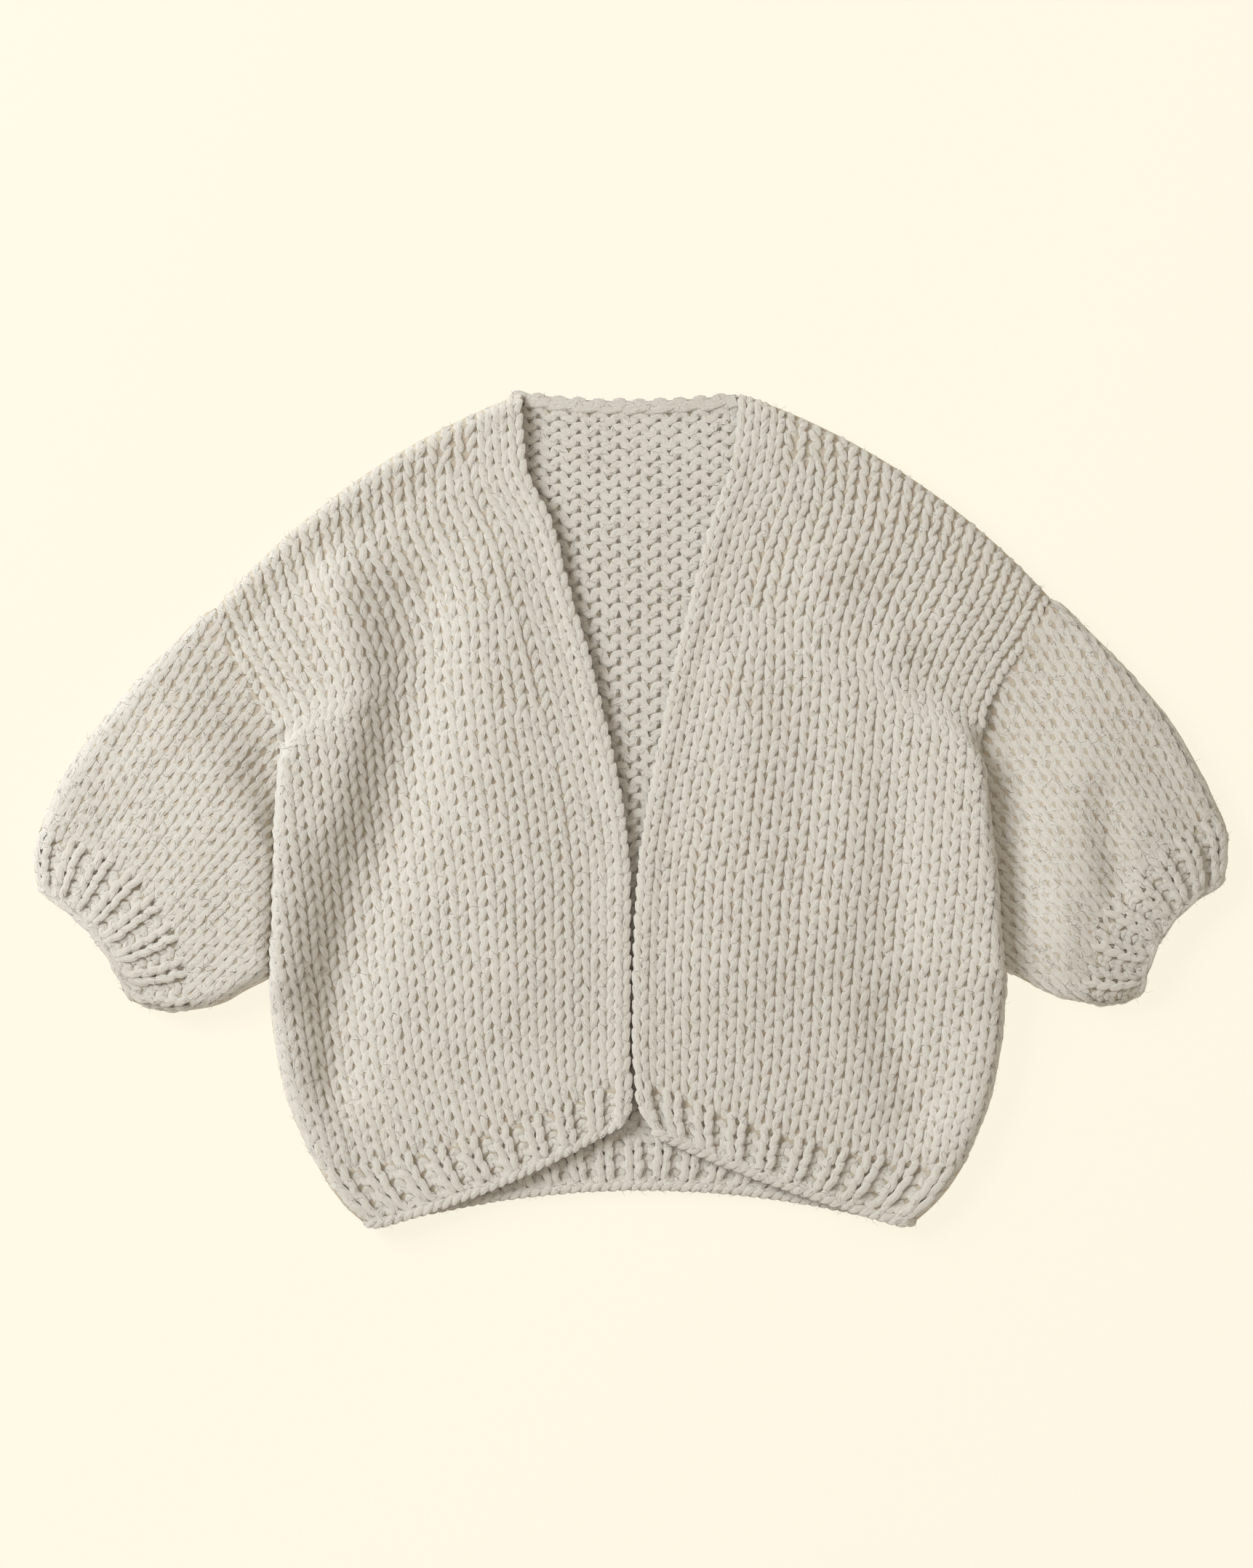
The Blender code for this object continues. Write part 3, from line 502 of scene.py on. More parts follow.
def wall_faces(rows, columns, closed):
    """Faces of a closed wall between two layers of a grid, the outer layer first."""
    spans = columns if closed else columns - 1
    r, c = np.meshgrid(np.arange(rows - 1), np.arange(spans), indexing="ij")
    d = (c + 1) % columns
    quads = np.stack([r * columns + c, r * columns + d, (r + 1) * columns + d, (r + 1) * columns + c], -1)
    quads = quads.reshape(-1, 4)
    layer = rows * columns
    faces = [quads, quads[:, ::-1] + layer]
    rims = [(np.arange(columns), False), ((rows - 1) * columns + np.arange(columns), True)]
    if closed:
        rims = [(np.append(rim, rim[0]), turned) for rim, turned in rims]
    else:
        rims += [(np.arange(rows) * columns, True), (np.arange(rows) * columns + columns - 1, False)]
    for rim, turned in rims:
        a, b = rim[:-1], rim[1:]
        side = np.stack([a, a + layer, b + layer, b], 1)
        faces.append(side[:, ::-1] if turned else side)
    return np.vstack(faces)


# The cloth's thickness, how deep its backing lies behind the yarn on top and round the turned
# edges, and the upward part of its normal where each depth begins and how soon it is whole
WALL = 6.0
PANEL_DEPTH = 2.2
RIM_DEPTH = 0.9
RIM_FROM, RIM_BLEND = -0.97, 0.2
TOP_FROM, TOP_BLEND = 0.1, 0.5


def add_panel(name, grid, finish, closed=False, sunk=PANEL_DEPTH):
    """The thin cloth behind the stitches: a closed wall whose top sinks where yarn covers it."""
    normals = grid_normals(grid, closed)
    level = normals[..., 2]
    depth = RIM_DEPTH * smooth((level - RIM_FROM) / RIM_BLEND)
    depth = depth + (sunk - RIM_DEPTH) * smooth((level - TOP_FROM) / TOP_BLEND)
    points = np.concatenate([grid - normals * depth[..., None], grid - normals * WALL]).reshape(-1, 3)
    faces = wall_faces(*grid.shape[:2], closed)
    return build_mesh(name + "_panel", points, faces.tolist(), finish)


# How one loop of yarn runs: half height in courses, swing of its legs in stitches, and how far
# its head and feet lie behind its legs. A purl stitch shows its head and feet instead.
LOOP_HALF = 0.80
LOOP_SWING = 0.205
LOOP_DEPTH = 1.6
LOOP_POINTS = 14
# Where the first course lies above the foot of a panel, in courses
FIRST_COURSE = 0.7
# In a rib, how far the knit columns spread over the purl ones, in stitches, and how soon the yarn
# comes up to its column's height
RIB_SPREAD = 0.1
RIB_STEEPNESS = 1.5
# The yarn: half width, half thickness, sides of its section, and how far it lies inside the cloth's
# outer face. Its width, thickness and place change a little from one set point to the next.
YARN_WIDE = 2.9
YARN_THICK = 2.65
YARN_SIDES = 7
YARN_SINK = 3.1
UNEVEN_POINTS = 5
WIDE_UNEVEN = 0.06
THICK_UNEVEN = 0.05
PLACE_UNEVEN = (0.35, 0.35, 0.15)
# A run's ends: points over which it tapers, to what share, and how far it is tucked down
END_POINTS = 4
END_THIN = 0.7
END_SINK = 2.0
# The upward part of the normal from which cloth counts as level. On a steeper side the loops
# flatten to a share of their depth and sink in.
LEVEL_FROM = 0.8
STEEP_SWELL = 0.35
STEEP_SINK = 0.8
# Where cloth turns under, its yarn stands out again, out of sight from above
UNDER_FROM, UNDER_BLEND = 0.3, 0.4
UNDER_SWELL = 0.2
UNDER_RISE = 1.7
# Wool's fuzz scatters the light, so that a yarn is lit partly as the cloth around it is
FUZZ_SHARE = 0.7
chance = np.random.default_rng(7)


def loops(stitches, course, face=1.0, swing=LOOP_SWING, depth=LOOP_DEPTH, relief=0.0):
    """Stitch numbers, course numbers and heights of the yarn through one course. face is 1 for a
    knit stitch and -1 for a purl one, and in a rib, relief sets the two apart in height."""
    turn = -np.pi + 2 * np.pi * np.arange(LOOP_POINTS) / LOOP_POINTS
    stitches = np.asarray(stitches, float)[:, None]
    face = np.broadcast_to(np.asarray(face, float), stitches[:, 0].shape)[:, None]
    if relief:
        face = face * np.minimum(1.0, np.cos(turn / 2) * RIB_STEEPNESS)
    u = stitches + 0.5 + turn / (2 * np.pi) + swing * np.sin(2 * turn)
    v = course + LOOP_HALF * np.cos(turn) + 0 * stitches
    z = face * (relief - depth * np.cos(2 * turn))
    u = np.append(u.ravel(), stitches[-1, 0] + 1)
    if relief:
        u = u + RIB_SPREAD * np.sin(np.pi * (u - 1.5))
    v = np.append(v.ravel(), course - LOOP_HALF)
    return u, v, np.append(z.ravel(), z[-1, 0])


def uneven(count, size):
    """Small shifts that change slowly along the yarn."""
    knots = chance.normal(0, size, count // UNEVEN_POINTS + 3)
    return np.interp(np.arange(count) / UNEVEN_POINTS, np.arange(len(knots)), knots)


def yarn_runs(cloth, u, v, z, sink=YARN_SINK, stout=1.0):
    """The yarn's line over a cloth, cut where it leaves it, its ends tucked down."""
    point, normal, there = cloth.find(np.column_stack([u, v]))
    count = len(point)
    wide = YARN_WIDE * stout * (1 + uneven(count, WIDE_UNEVEN))
    thick = YARN_THICK * (1 + uneven(count, THICK_UNEVEN))
    shifts = np.column_stack([uneven(count, size) for size in PLACE_UNEVEN])
    edges = np.flatnonzero(np.diff(np.concatenate([[0], there, [0]])))
    runs = []
    for start, end in zip(edges[::2], edges[1::2]):
        if end - start < END_POINTS:
            continue
        part = slice(start, end)
        place = np.arange(end - start)
        inside = smooth(np.minimum(place, place[::-1]) / END_POINTS)
        level = smooth(normal[part, 2] / LEVEL_FROM)
        under = smooth((-normal[part, 2] - UNDER_FROM) / UNDER_BLEND)
        swell = STEEP_SWELL + (1 - STEEP_SWELL) * level + UNDER_SWELL * under
        height = z[part] * swell - sink
        height = height - STEEP_SINK * (1 - level) + UNDER_RISE * under - END_SINK * (1 - inside)
        path = point[part] + shifts[part] + normal[part] * height[:, None]
        thin = END_THIN + (1 - END_THIN) * inside
        runs.append((path, normal[part], wide[part] * thin, thick[part] * thin))
    return runs


# The wool's pattern starts at a chance place along each run, in millimetres, and its UVs count
# turns round the yarn and lengths along it
PATTERN_START = 500
UV_LENGTH = 10


def add_yarn(name, runs, finish, fuzz=FUZZ_SHARE):
    """Yarn swept along its runs as one mesh, closed at the ends, with UVs along and around it."""
    ring = np.arange(YARN_SIDES)
    angles = 2 * np.pi * ring / YARN_SIDES
    points, facing, faces, caps, around, along = [], [], [], [], [], []
    base = 0
    for path, normals, wide, thick in runs:
        forward = np.gradient(path, axis=0)
        forward /= np.linalg.norm(forward, axis=1, keepdims=True)
        side = np.cross(forward, normals)
        side /= np.linalg.norm(side, axis=1, keepdims=True)
        up = np.cross(side, forward)
        across = (np.cos(angles) * wide[:, None])[:, :, None]
        rise = (np.sin(angles) * thick[:, None])[:, :, None]
        offset = side[:, None] * across + up[:, None] * rise
        points.append((path[:, None] + offset).reshape(-1, 3))
        offset /= np.linalg.norm(offset, axis=2, keepdims=True)
        facing.append((offset * (1 - fuzz) + normals[:, None] * fuzz).reshape(-1, 3))
        count = len(path)
        first = base + np.arange(count - 1)[:, None] * YARN_SIDES
        here, ahead = first + ring, first + (ring + 1) % YARN_SIDES
        quads = np.stack([here, here + YARN_SIDES, ahead + YARN_SIDES, ahead], -1)
        faces.append(quads.reshape(-1, 4))
        caps += [(base + ring).tolist(), (base + (count - 1) * YARN_SIDES + ring[::-1]).tolist()]
        run = np.concatenate([[0], np.cumsum(np.linalg.norm(np.diff(path, axis=0), axis=1))])
        begin = chance.uniform(0, PATTERN_START)
        around.append(np.tile(ring[None, :, None] + np.array([0, 0, 1, 1]), (count - 1, 1, 1)))
        along.append(begin + run[np.arange(count - 1)[:, None, None] + np.array([0, 1, 1, 0])]
                     + np.zeros((1, YARN_SIDES, 1)))
        base += count * YARN_SIDES
    quads = np.vstack(faces)
    piece = build_mesh(name, np.vstack(points), quads.tolist() + caps, finish)
    around = np.concatenate([a.ravel() for a in around]) / YARN_SIDES
    along = np.concatenate([a.ravel() for a in along]) / UV_LENGTH
    uv = np.zeros((len(piece.data.loops), 2), np.float32)
    uv[:len(around)] = np.stack([around, along], 1)
    piece.data.uv_layers.new(name="yarn").data.foreach_set("uv", uv.ravel())
    facing = np.vstack(facing)
    facing /= np.maximum(np.linalg.norm(facing, axis=1, keepdims=True), 1e-9)
    piece.data.normals_split_custom_set_from_vertices(facing.tolist())
    return piece


# Loose fibres: short bent hairs that stand off the yarn and cross the holes between stitches.
# They start where the yarn faces up and is clear of the surface, up to a roll either side of its
# crest, and a little inside it.
HAIR_LENGTH = (3.0, 8.0)
HAIR_RISE = (0.0, 0.6)
HAIR_RADII = np.array([0.09, 0.09, 0.04])
HAIR_SIDES = 3
HAIR_LEAST_HEIGHT = 3.0
HAIR_FACING = 0.4
HAIR_ROLL = 1.2
HAIR_BEND = 0.22
HAIR_DIP = (-0.4, 1.2)
HAIR_ROOT = 0.9


def add_fuzz(name, runs, count):
    """The halo of loose fibres over a piece's yarn."""
    path, up, wide, thick = (np.concatenate([run[i] for run in runs]) for i in range(4))
    forward = np.concatenate([np.gradient(run[0], axis=0) for run in runs])
    seen = (up[:, 2] > HAIR_FACING) & (path[:, 2] > HAIR_LEAST_HEIGHT)
    pick = chance.choice(np.flatnonzero(seen), count)
    path, up, wide, thick, forward = (part[pick] for part in (path, up, wide, thick, forward))
    forward /= np.linalg.norm(forward, axis=1, keepdims=True)
    side = np.cross(forward, up)
    side /= np.linalg.norm(side, axis=1, keepdims=True)
    roll = chance.uniform(-HAIR_ROLL, HAIR_ROLL, (count, 1))
    heading = chance.uniform(0, 2 * np.pi, (count, 1))
    out = side * np.sin(roll) + np.cross(side, forward) * np.cos(roll)
    across = np.cross(out, forward)
    lean = forward * np.cos(heading) + across * np.sin(heading)
    beside = np.cross(out, lean)
    length, rise = chance.uniform(*HAIR_LENGTH, (count, 1)), chance.uniform(*HAIR_RISE, (count, 1))
    bend, dip = chance.normal(0, HAIR_BEND, (count, 1)), chance.uniform(*HAIR_DIP, (count, 1))
    radius = np.hypot(wide[:, None] * np.sin(roll), thick[:, None] * np.cos(roll))
    start = path + out * (HAIR_ROOT * radius)
    line = np.stack([start, start + lean * length * 0.5 + out * rise,
                     start + (lean + beside * bend) * length + out * rise * dip], 1)
    corner = 2 * np.pi * np.arange(HAIR_SIDES) / HAIR_SIDES
    ring = out[:, None] * np.cos(corner)[:, None] + beside[:, None] * np.sin(corner)[:, None]
    points = line[:, :, None] + ring[:, None] * HAIR_RADII[:, None, None]
    first = np.arange(count)[:, None, None] * 3 * HAIR_SIDES + np.array([0, HAIR_SIDES])[:, None]
    here, ahead = first + np.arange(HAIR_SIDES), first + (np.arange(HAIR_SIDES) + 1) % HAIR_SIDES
    quads = np.stack([here, ahead, ahead + HAIR_SIDES, here + HAIR_SIDES], -1).reshape(-1, 4)
    root = np.arange(count)[:, None] * 3 * HAIR_SIDES + np.arange(HAIR_SIDES)
    caps = np.vstack([root[:, ::-1], root + 2 * HAIR_SIDES])
    piece = build_mesh(name, points.reshape(-1, 3), quads.tolist() + caps.tolist(), wool_fibre)
    piece.data.normals_split_custom_set_from_vertices(np.repeat(up, 3 * HAIR_SIDES, axis=0).tolist())
    return piece


# How far apart the points of a twisted strand lie
TWIST_STEP = 1.6


def twisted_edge(line, up, pitch, spread=1.5, radius=2.8):
    """Two strands twisted round each other along an edge."""
    run = np.concatenate([[0], np.cumsum(np.linalg.norm(np.diff(line, axis=0), axis=1))])
    even = np.arange(0, run[-1], TWIST_STEP)
    line = np.stack([np.interp(even, run, line[:, i]) for i in range(3)], -1)
    up = np.stack([np.interp(even, run, up[:, i]) for i in range(3)], -1)
    forward = np.gradient(line, axis=0)
    forward /= np.linalg.norm(forward, axis=1, keepdims=True)
    side = np.cross(forward, up)
    side /= np.linalg.norm(side, axis=1, keepdims=True)
    runs = []
    for phase in (0, np.pi):
        angle = (2 * np.pi * even / pitch + phase)[:, None]
        path = line + (side * np.cos(angle) + up * np.sin(angle)) * spread
        size = radius * (1 + uneven(len(path), THICK_UNEVEN))
        runs.append((path, up, size, size))
    return runs


# Undyed wool, from painted shade between its fibres to their pale tips, and painted shade on the backing
# behind the stitches, darker and browner than the yarn
WOOL_PAINTED_SHADE = (0.64, 0.59, 0.51, 1.0)
WOOL_WARM = (0.79, 0.73, 0.63, 1.0)
WOOL_LIGHT = (0.84, 0.814, 0.757, 1.0)
WOOL_PALE = (0.90, 0.878, 0.828, 1.0)
PAINTED_SHADE_DEEP = (0.56, 0.485, 0.385, 1.0)
PAINTED_SHADE_LIGHT = (0.70, 0.64, 0.53, 1.0)


def wool(name):
    """Undyed, loosely spun wool: soft matte fibres that wind along the yarn, uneven in tone, with painted
    shade where the fibres' bumps are low.
    """
    finish = Finish(name)
    uv = finish.node("UVMap", {"uv_map": "yarn"})()
    place = finish.node("TexCoord")("Object")
    wound = finish.node("Mapping", Vector=uv, Scale=(4.0, 0.8, 1.0), Rotation=(0.0, 0.0, 0.5))()
    fibres = finish.node("TexNoise", Vector=wound, Scale=3.2, Detail=5.0, Roughness=0.7)()
    fuzz = finish.node("TexNoise", Vector=place, Scale=430.0, Detail=4.0, Roughness=0.7)()
    clouds = finish.node("TexNoise", Vector=place, Scale=38.0, Detail=2.0)()
    strands = fibres * 0.65 + fuzz * 0.35
    # The darkest stop is painted shade: it falls on the low parts of the fibre pattern, which the bump
    # below also sinks
    tones = finish.node("ValToRGB", {"stops": (
        (0.30, WOOL_PAINTED_SHADE), (0.50, WOOL_LIGHT), (0.72, WOOL_PALE),
    )}, Fac=strands)()
    warm = finish.node("Mix", {"data_type": "RGBA"}, at0=clouds * 0.5 - 0.1, at6=tones, at7=WOOL_WARM)
    finish.feed("Base Color", warm(2))
    finish.feed("Roughness", 0.95)
    finish.feed("Sheen Weight", 0.3)
    finish.feed("Sheen Roughness", 0.6)
    finish.feed("Specular IOR Level", 0.15)
    finish.feed("Normal", finish.node("Bump", Strength=0.65, Distance=0.0018, Height=strands)())
    return finish.material


def fibre(name):
    """Single fibres, a little paler than the yarn they have come loose from."""
    finish = Finish(name)
    place = finish.node("TexCoord")("Object")
    clouds = finish.node("TexNoise", Vector=place, Scale=120.0, Detail=2.0)()
    tones = finish.node("ValToRGB", {"stops": ((0.35, WOOL_WARM), (0.6, WOOL_PALE))}, Fac=clouds)()
    finish.feed("Base Color", tones)
    finish.feed("Roughness", 1.0)
    finish.feed("Specular IOR Level", 0.1)
    return finish.material


def backing(name):
    """The same wool seen deep between the stitches and on the hidden side, coloured with painted shade:
    darker and browner than the yarn, as the shade there looks. Rougher too.
    """
    finish = Finish(name)
    place = finish.node("TexCoord")("Object")
    fuzz = finish.node("TexNoise", Vector=place, Scale=420.0, Detail=5.0, Roughness=0.7)()
    bumps = finish.node("TexVoronoi", {"feature": "SMOOTH_F1"}, Vector=place, Scale=105.0)()
    tones = finish.node("ValToRGB", {"stops": ((0.25, PAINTED_SHADE_DEEP), (0.75, PAINTED_SHADE_LIGHT))}, Fac=fuzz)()
    finish.feed("Base Color", tones)
    finish.feed("Roughness", 0.97)
    height = fuzz * 0.35 + (1.0 - bumps) * 0.65
    finish.feed("Normal", finish.node("Bump", Strength=0.8, Distance=0.002, Height=height)())
    return finish.material


wool_yarn = wool("wool_yarn")
wool_fibre = fibre("wool_fibre")
# The backing's finish is painted shade, so that the holes between the stitches read dark and warm
wool_painted_shade_backing = backing("wool_painted_shade_backing")

# Steps across a front: 0 to 1 from the open edge to the side's turn, 1 to 2 round it, and 3 at
# the tuck's end. Rows go down it and turns go round its shoulder.
FRONT_STEPS = np.concatenate([
    np.linspace(0, 0.16, 9), np.linspace(0.16, 1, 62)[1:], np.linspace(1, 2, 15)[1:], [3.0],
])
PANEL_STEPS = np.concatenate([
    [0, 0.01, 0.03, 0.06], np.linspace(0.1, 1, 34), np.linspace(1, 2, 9)[1:], [3.0],
])
FRONT_ROWS = np.linspace(0.3, 16, 106)
PANEL_ROWS = np.concatenate([[0.3, 0.45, 0.6], np.linspace(0.8, 16, 60)])
SHOULDER_TURNS = np.radians(np.linspace(160, 0, 14))
PANEL_TURNS = np.radians(np.linspace(180, 0, 9))
# The fine grid is led on by some of its own rows at the foot, and by millimetres at the side seam
LEAD_ROWS = 4.0
SEAM_LEAD = 4.5
# The grid's columns that the edge band is worked out on, and one just beside the band
BAND_COLUMNS = 18
BESIDE_BAND = 10
# Stitch numbers past the side, and the last ones that close up where a stitch is taken away
FIRST_STITCH = -3
CLOSING_STITCHES = 2.5
# The band of drawn-out yarn: its distance below the shoulder, half width and share of thinning,
# and how far from the garment's middle it starts and becomes whole
DRAWN_BELOW = 25.0
DRAWN_WIDTH = 11.0
DRAWN_THIN = 0.2
DRAWN_START = 95.0
DRAWN_FADE = 45.0
FRONT_HAIRS = 4800


def front_stitches(front):
    """The front's fine grid, the stitch and course numbers over it, the distance from its edge and
    the stitch number where the edge band begins."""
    grid = front.whole_grid(FRONT_ROWS, FRONT_STEPS, SHOULDER_TURNS)
    rows = np.concatenate([np.zeros(len(SHOULDER_TURNS)), FRONT_ROWS])
    given = np.array(FRONT_STITCHES).T
    facts = {name: np.interp(rows, given[0], given[i])[:, None] for i, name in enumerate(STITCH_COLUMNS)}
    spans = np.linalg.norm(np.diff(grid, axis=1), axis=2)
    from_edge = np.concatenate([np.zeros((len(grid), 1)), np.cumsum(spans, axis=1)], axis=1)
    # The side is a quarter of the way round a turn, or the cloth's end where it has not turned
    angle, radius, _, tuck = front.turn_of(rows)
    past_side = np.where(angle > math.pi / 2, radius * (angle - math.pi / 2) + tuck, 0.0)
    side = (from_edge[:, -1] - past_side)[:, None]
    inner = facts["edge_stitch"] - EDGE_STITCHES
    stitch = facts["side_stitch"] + (inner - facts["side_stitch"]) * (side - from_edge) / (side - BAND)
    share = np.clip(from_edge / side, 0, 1) * 2
    pitch = facts["edge_pitch"] + (facts["middle_pitch"] - facts["edge_pitch"]) * smooth(share)
    pitch = pitch + (facts["side_pitch"] - facts["middle_pitch"]) * smooth(share - 1)
    rise = np.linalg.norm(np.diff(grid, axis=0), axis=2) / ((pitch[1:] + pitch[:-1]) / 2)
    course = np.concatenate([np.cumsum(rise[::-1], axis=0)[::-1], np.zeros((1, grid.shape[1]))])
    return grid, stitch, course, from_edge, inner


def led_on(grid, *numbers):
    """The grid and its numbers, led on below its last row, so that stitches meet those of the rib."""
    return [np.vstack([part, part[-1:] + (part[-1:] - part[-2:-1]) * LEAD_ROWS])
            for part in (grid, *numbers)]


def led_past_seam(grid, *numbers):
    """The grid and its numbers, led on past its first row, so that stitches meet across a seam."""
    share = (SEAM_LEAD / np.linalg.norm((grid[0] - grid[1])[..., :3], axis=-1))[:, None]
    return [np.concatenate([part[:1] + (part[:1] - part[1:2]) * share, part])
            for part in (grid, *numbers)]


def drawn_out(runs, front):
    """The same yarn, drawn thin along a band below the shoulder's turn, so that holes open there."""
    outline = front.points(0.0, np.linspace(1, 0, 40), 1.0)
    outline = outline[np.argsort(np.abs(outline[:, 0]))]
    drawn = []
    for path, up, wide, thick in runs:
        across = np.abs(path[:, 0])
        below = np.interp(across, np.abs(outline[:, 0]), outline[:, 1]) - path[:, 1]
        share = np.exp(-((below - DRAWN_BELOW) / DRAWN_WIDTH) ** 2)
        share = share * smooth((across - DRAWN_START) / DRAWN_FADE)
        drawn.append((path, up, wide * (1 - DRAWN_THIN * share), thick * (1 - DRAWN_THIN * share / 2)))
    return drawn


def knit_front(name, front):
    """All courses of a front. Where the neck has taken a stitch away, its neighbours close up."""
    grid, stitch, course, from_edge, inner = led_on(*front_stitches(front))
    normals = grid_normals(grid)
    sheet = np.concatenate([grid, stitch[..., None], course[..., None]], 2)
    sheet = led_past_seam(sheet[:, ::-1].swapaxes(0, 1))[0].swapaxes(0, 1)[:, ::-1]
    body = Cloth(sheet[..., :3], grid_normals(sheet[..., :3]), sheet[..., 3], sheet[..., 4])
    near = slice(0, BAND_COLUMNS)
    edge_stitch = EDGE_STITCHES - from_edge[:, near] / EDGE_STITCH_WIDTH
    band = Cloth(grid[:, near], normals[:, near], edge_stitch, course[:, near])
    runs, edge_runs = [], []
    for level in np.arange(FIRST_COURSE, course.max(), 1.0):
        last = np.interp(level, course[::-1, BESIDE_BAND], inner[::-1, 0])
        count = int(round(last))
        u, v, z = loops(range(FIRST_STITCH, count), level)
        u = u + (last - count) * smooth((u - (count - CLOSING_STITCHES)) / CLOSING_STITCHES)
        runs += yarn_runs(body, u, v, z)
        edge_runs += yarn_runs(band, *loops(range(EDGE_STITCHES), level))
    runs = drawn_out(runs, front)
    return (add_yarn(name + "_stitches", runs, wool_yarn),
            add_yarn(name + "_edge_stitches", edge_runs, wool_yarn),
            add_fuzz(name + "_fuzz", runs + edge_runs, FRONT_HAIRS))


right_front = Front(RIGHT_FRONT_ROWS, RIGHT_FRONT_FOLDS)
left_front = Front(LEFT_FRONT_ROWS, LEFT_FRONT_FOLDS)
for name, front in (("front_right", right_front), ("front_left", left_front)):
    panel_grid = front.whole_grid(PANEL_ROWS, PANEL_STEPS, PANEL_TURNS, lap=True)
    panel = add_panel(name, panel_grid, wool_painted_shade_backing)
    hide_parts(name)
    knit_front(name, front)


# The fronts' ribs: one knit and one purl stitch by turns in the same wool, four courses deep. They
# run on into the panel's own stitches and start from a twisted cast-on edge.
RIGHT_HEM_ROWS = (
    RIGHT_FRONT_ROWS[-1],
    (-0.8, -204, -216, -272, -8, 16, 18.5, 0, 180, 3.5, 28),
    (-1.5, -216, -204, -287, -8, 16, 18, 0, 180, 3.5, 26),
    (-4.5, -223, -189, -300, -8, 16, 17.5, 0, 180, 3.5, 24),
)
LEFT_HEM_ROWS = (
    LEFT_FRONT_ROWS[-1],
    (4.5, -206, 229, -271, -9, 16, 18.5, 0, 180, 3.5, 30),
    (9, -219, 217, -285, -7, 16, 18, 0, 180, 3.5, 28),
    (17, -232, 201, -299, -5, 16, 17.5, 0, 180, 3.5, 26),
)
RIB_ROWS = np.linspace(0, 3, 19)
RIB_PANEL_ROWS = np.linspace(0, 3, 9)
RIB_COURSES = 4
RIB_FIRST_COURSE = 0.45
RIB_STITCHES = 20
# How far the knit columns stand above the cloth and the purl ones below it, how its loops run,
# how stout and fuzzy its yarn is, and how deep its backing lies
RIB_RELIEF = 1.75
RIB_SWING = 0.17
RIB_LOOP_DEPTH = 1.2
RIB_STOUT = 1.06
RIB_FUZZ_SHARE = 0.66
RIB_PANEL_DEPTH = 3.1
# The last course's heads lie low, under the panel's first stitches, on cloth led on above the rib
RIB_HEAD_HEIGHT = -0.7
RIB_LED_ON = 6.0
# The cast-on edge's twist, how far up the rib it lies and how far inside its face
CAST_ON_TWIST = 14.5
CAST_ON_IN = 2.2
CAST_ON_SINK = 3.0
RIB_HAIRS = 550


def with_row_above(grid, courses):
    """The grid, led on above its first row, so that the last course's heads are there too."""
    share = RIB_LED_ON / np.linalg.norm(grid[0] - grid[1], axis=1).mean()
    lead = grid[:1] + (grid[:1] - grid[1:2]) * share
    rise = (courses[0] - courses[1]) * share
    return np.concatenate([lead, grid]), np.concatenate([courses[:1] + rise, courses])


def knit_rib(grid, stitch, courses, first, last, relief=RIB_RELIEF, stout=RIB_STOUT):
    """A rib over a grid: courses of knit and purl stitches between two stitch numbers."""
    numbers = courses * (1 - np.arange(len(grid)) / (len(grid) - 1))
    grid, numbers = with_row_above(grid, numbers)
    course = np.repeat(numbers[:, None], grid.shape[1], axis=1)
    cloth = Cloth(grid, grid_normals(grid), np.broadcast_to(stitch, course.shape).copy(), course)
    stitches = np.arange(first, last)
    face = np.where(stitches % 2 == 1, 1.0, -1.0)
    runs = []
    for level in np.arange(RIB_FIRST_COURSE, courses, 1.0):
        u, v, z = loops(stitches, level, face, RIB_SWING, RIB_LOOP_DEPTH, relief)
        if level > courses - 1:
            z = z + (RIB_HEAD_HEIGHT - z) * smooth((v - level) / LOOP_HALF)
        runs += yarn_runs(cloth, u, v, z, stout=stout)
    return runs


def edge_line(grid, inward, sink, closed=False):
    """The line of a cast-on edge: the last row, moved up the cloth and below its face."""
    normals = grid_normals(grid, closed)[-1]
    back = grid[-2] - grid[-1]
    back /= np.linalg.norm(back, axis=1, keepdims=True)
    return grid[-1] + back * inward - normals * sink, normals


for name, rows, folds, front in (
    ("hem_front_right", RIGHT_HEM_ROWS, RIGHT_FRONT_FOLDS, right_front),
    ("hem_front_left", LEFT_HEM_ROWS, LEFT_FRONT_FOLDS, left_front),
):
    hem = Front(rows, folds)
    panel_grid = hem.grid(RIB_PANEL_ROWS, PANEL_STEPS)
    panel = add_panel(name, panel_grid, wool_painted_shade_backing, sunk=RIB_PANEL_DEPTH)
    grid = hem.grid(RIB_ROWS, FRONT_STEPS)
    _, stitch, _, from_edge, _ = front_stitches(front)
    in_band = RIB_STITCHES - from_edge[-1] / EDGE_STITCH_WIDTH
    numbers = np.where(from_edge[-1] < BAND, in_band, stitch[-1])
    runs = knit_rib(grid, numbers, RIB_COURSES, FIRST_STITCH, RIB_STITCHES)
    runs += twisted_edge(*edge_line(grid, CAST_ON_IN, CAST_ON_SINK), CAST_ON_TWIST)
    ribs = add_yarn(name + "_ribs", runs, wool_yarn, RIB_FUZZ_SHARE)
    fuzz = add_fuzz(name + "_fuzz", runs, RIB_HAIRS)
    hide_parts(name)


# The sleeves: balloon tubes of stocking stitch in the same wool, laid flat and sewn in at the
# armhole under the fronts' sides. Their columns of stitches all lean towards the cuff.

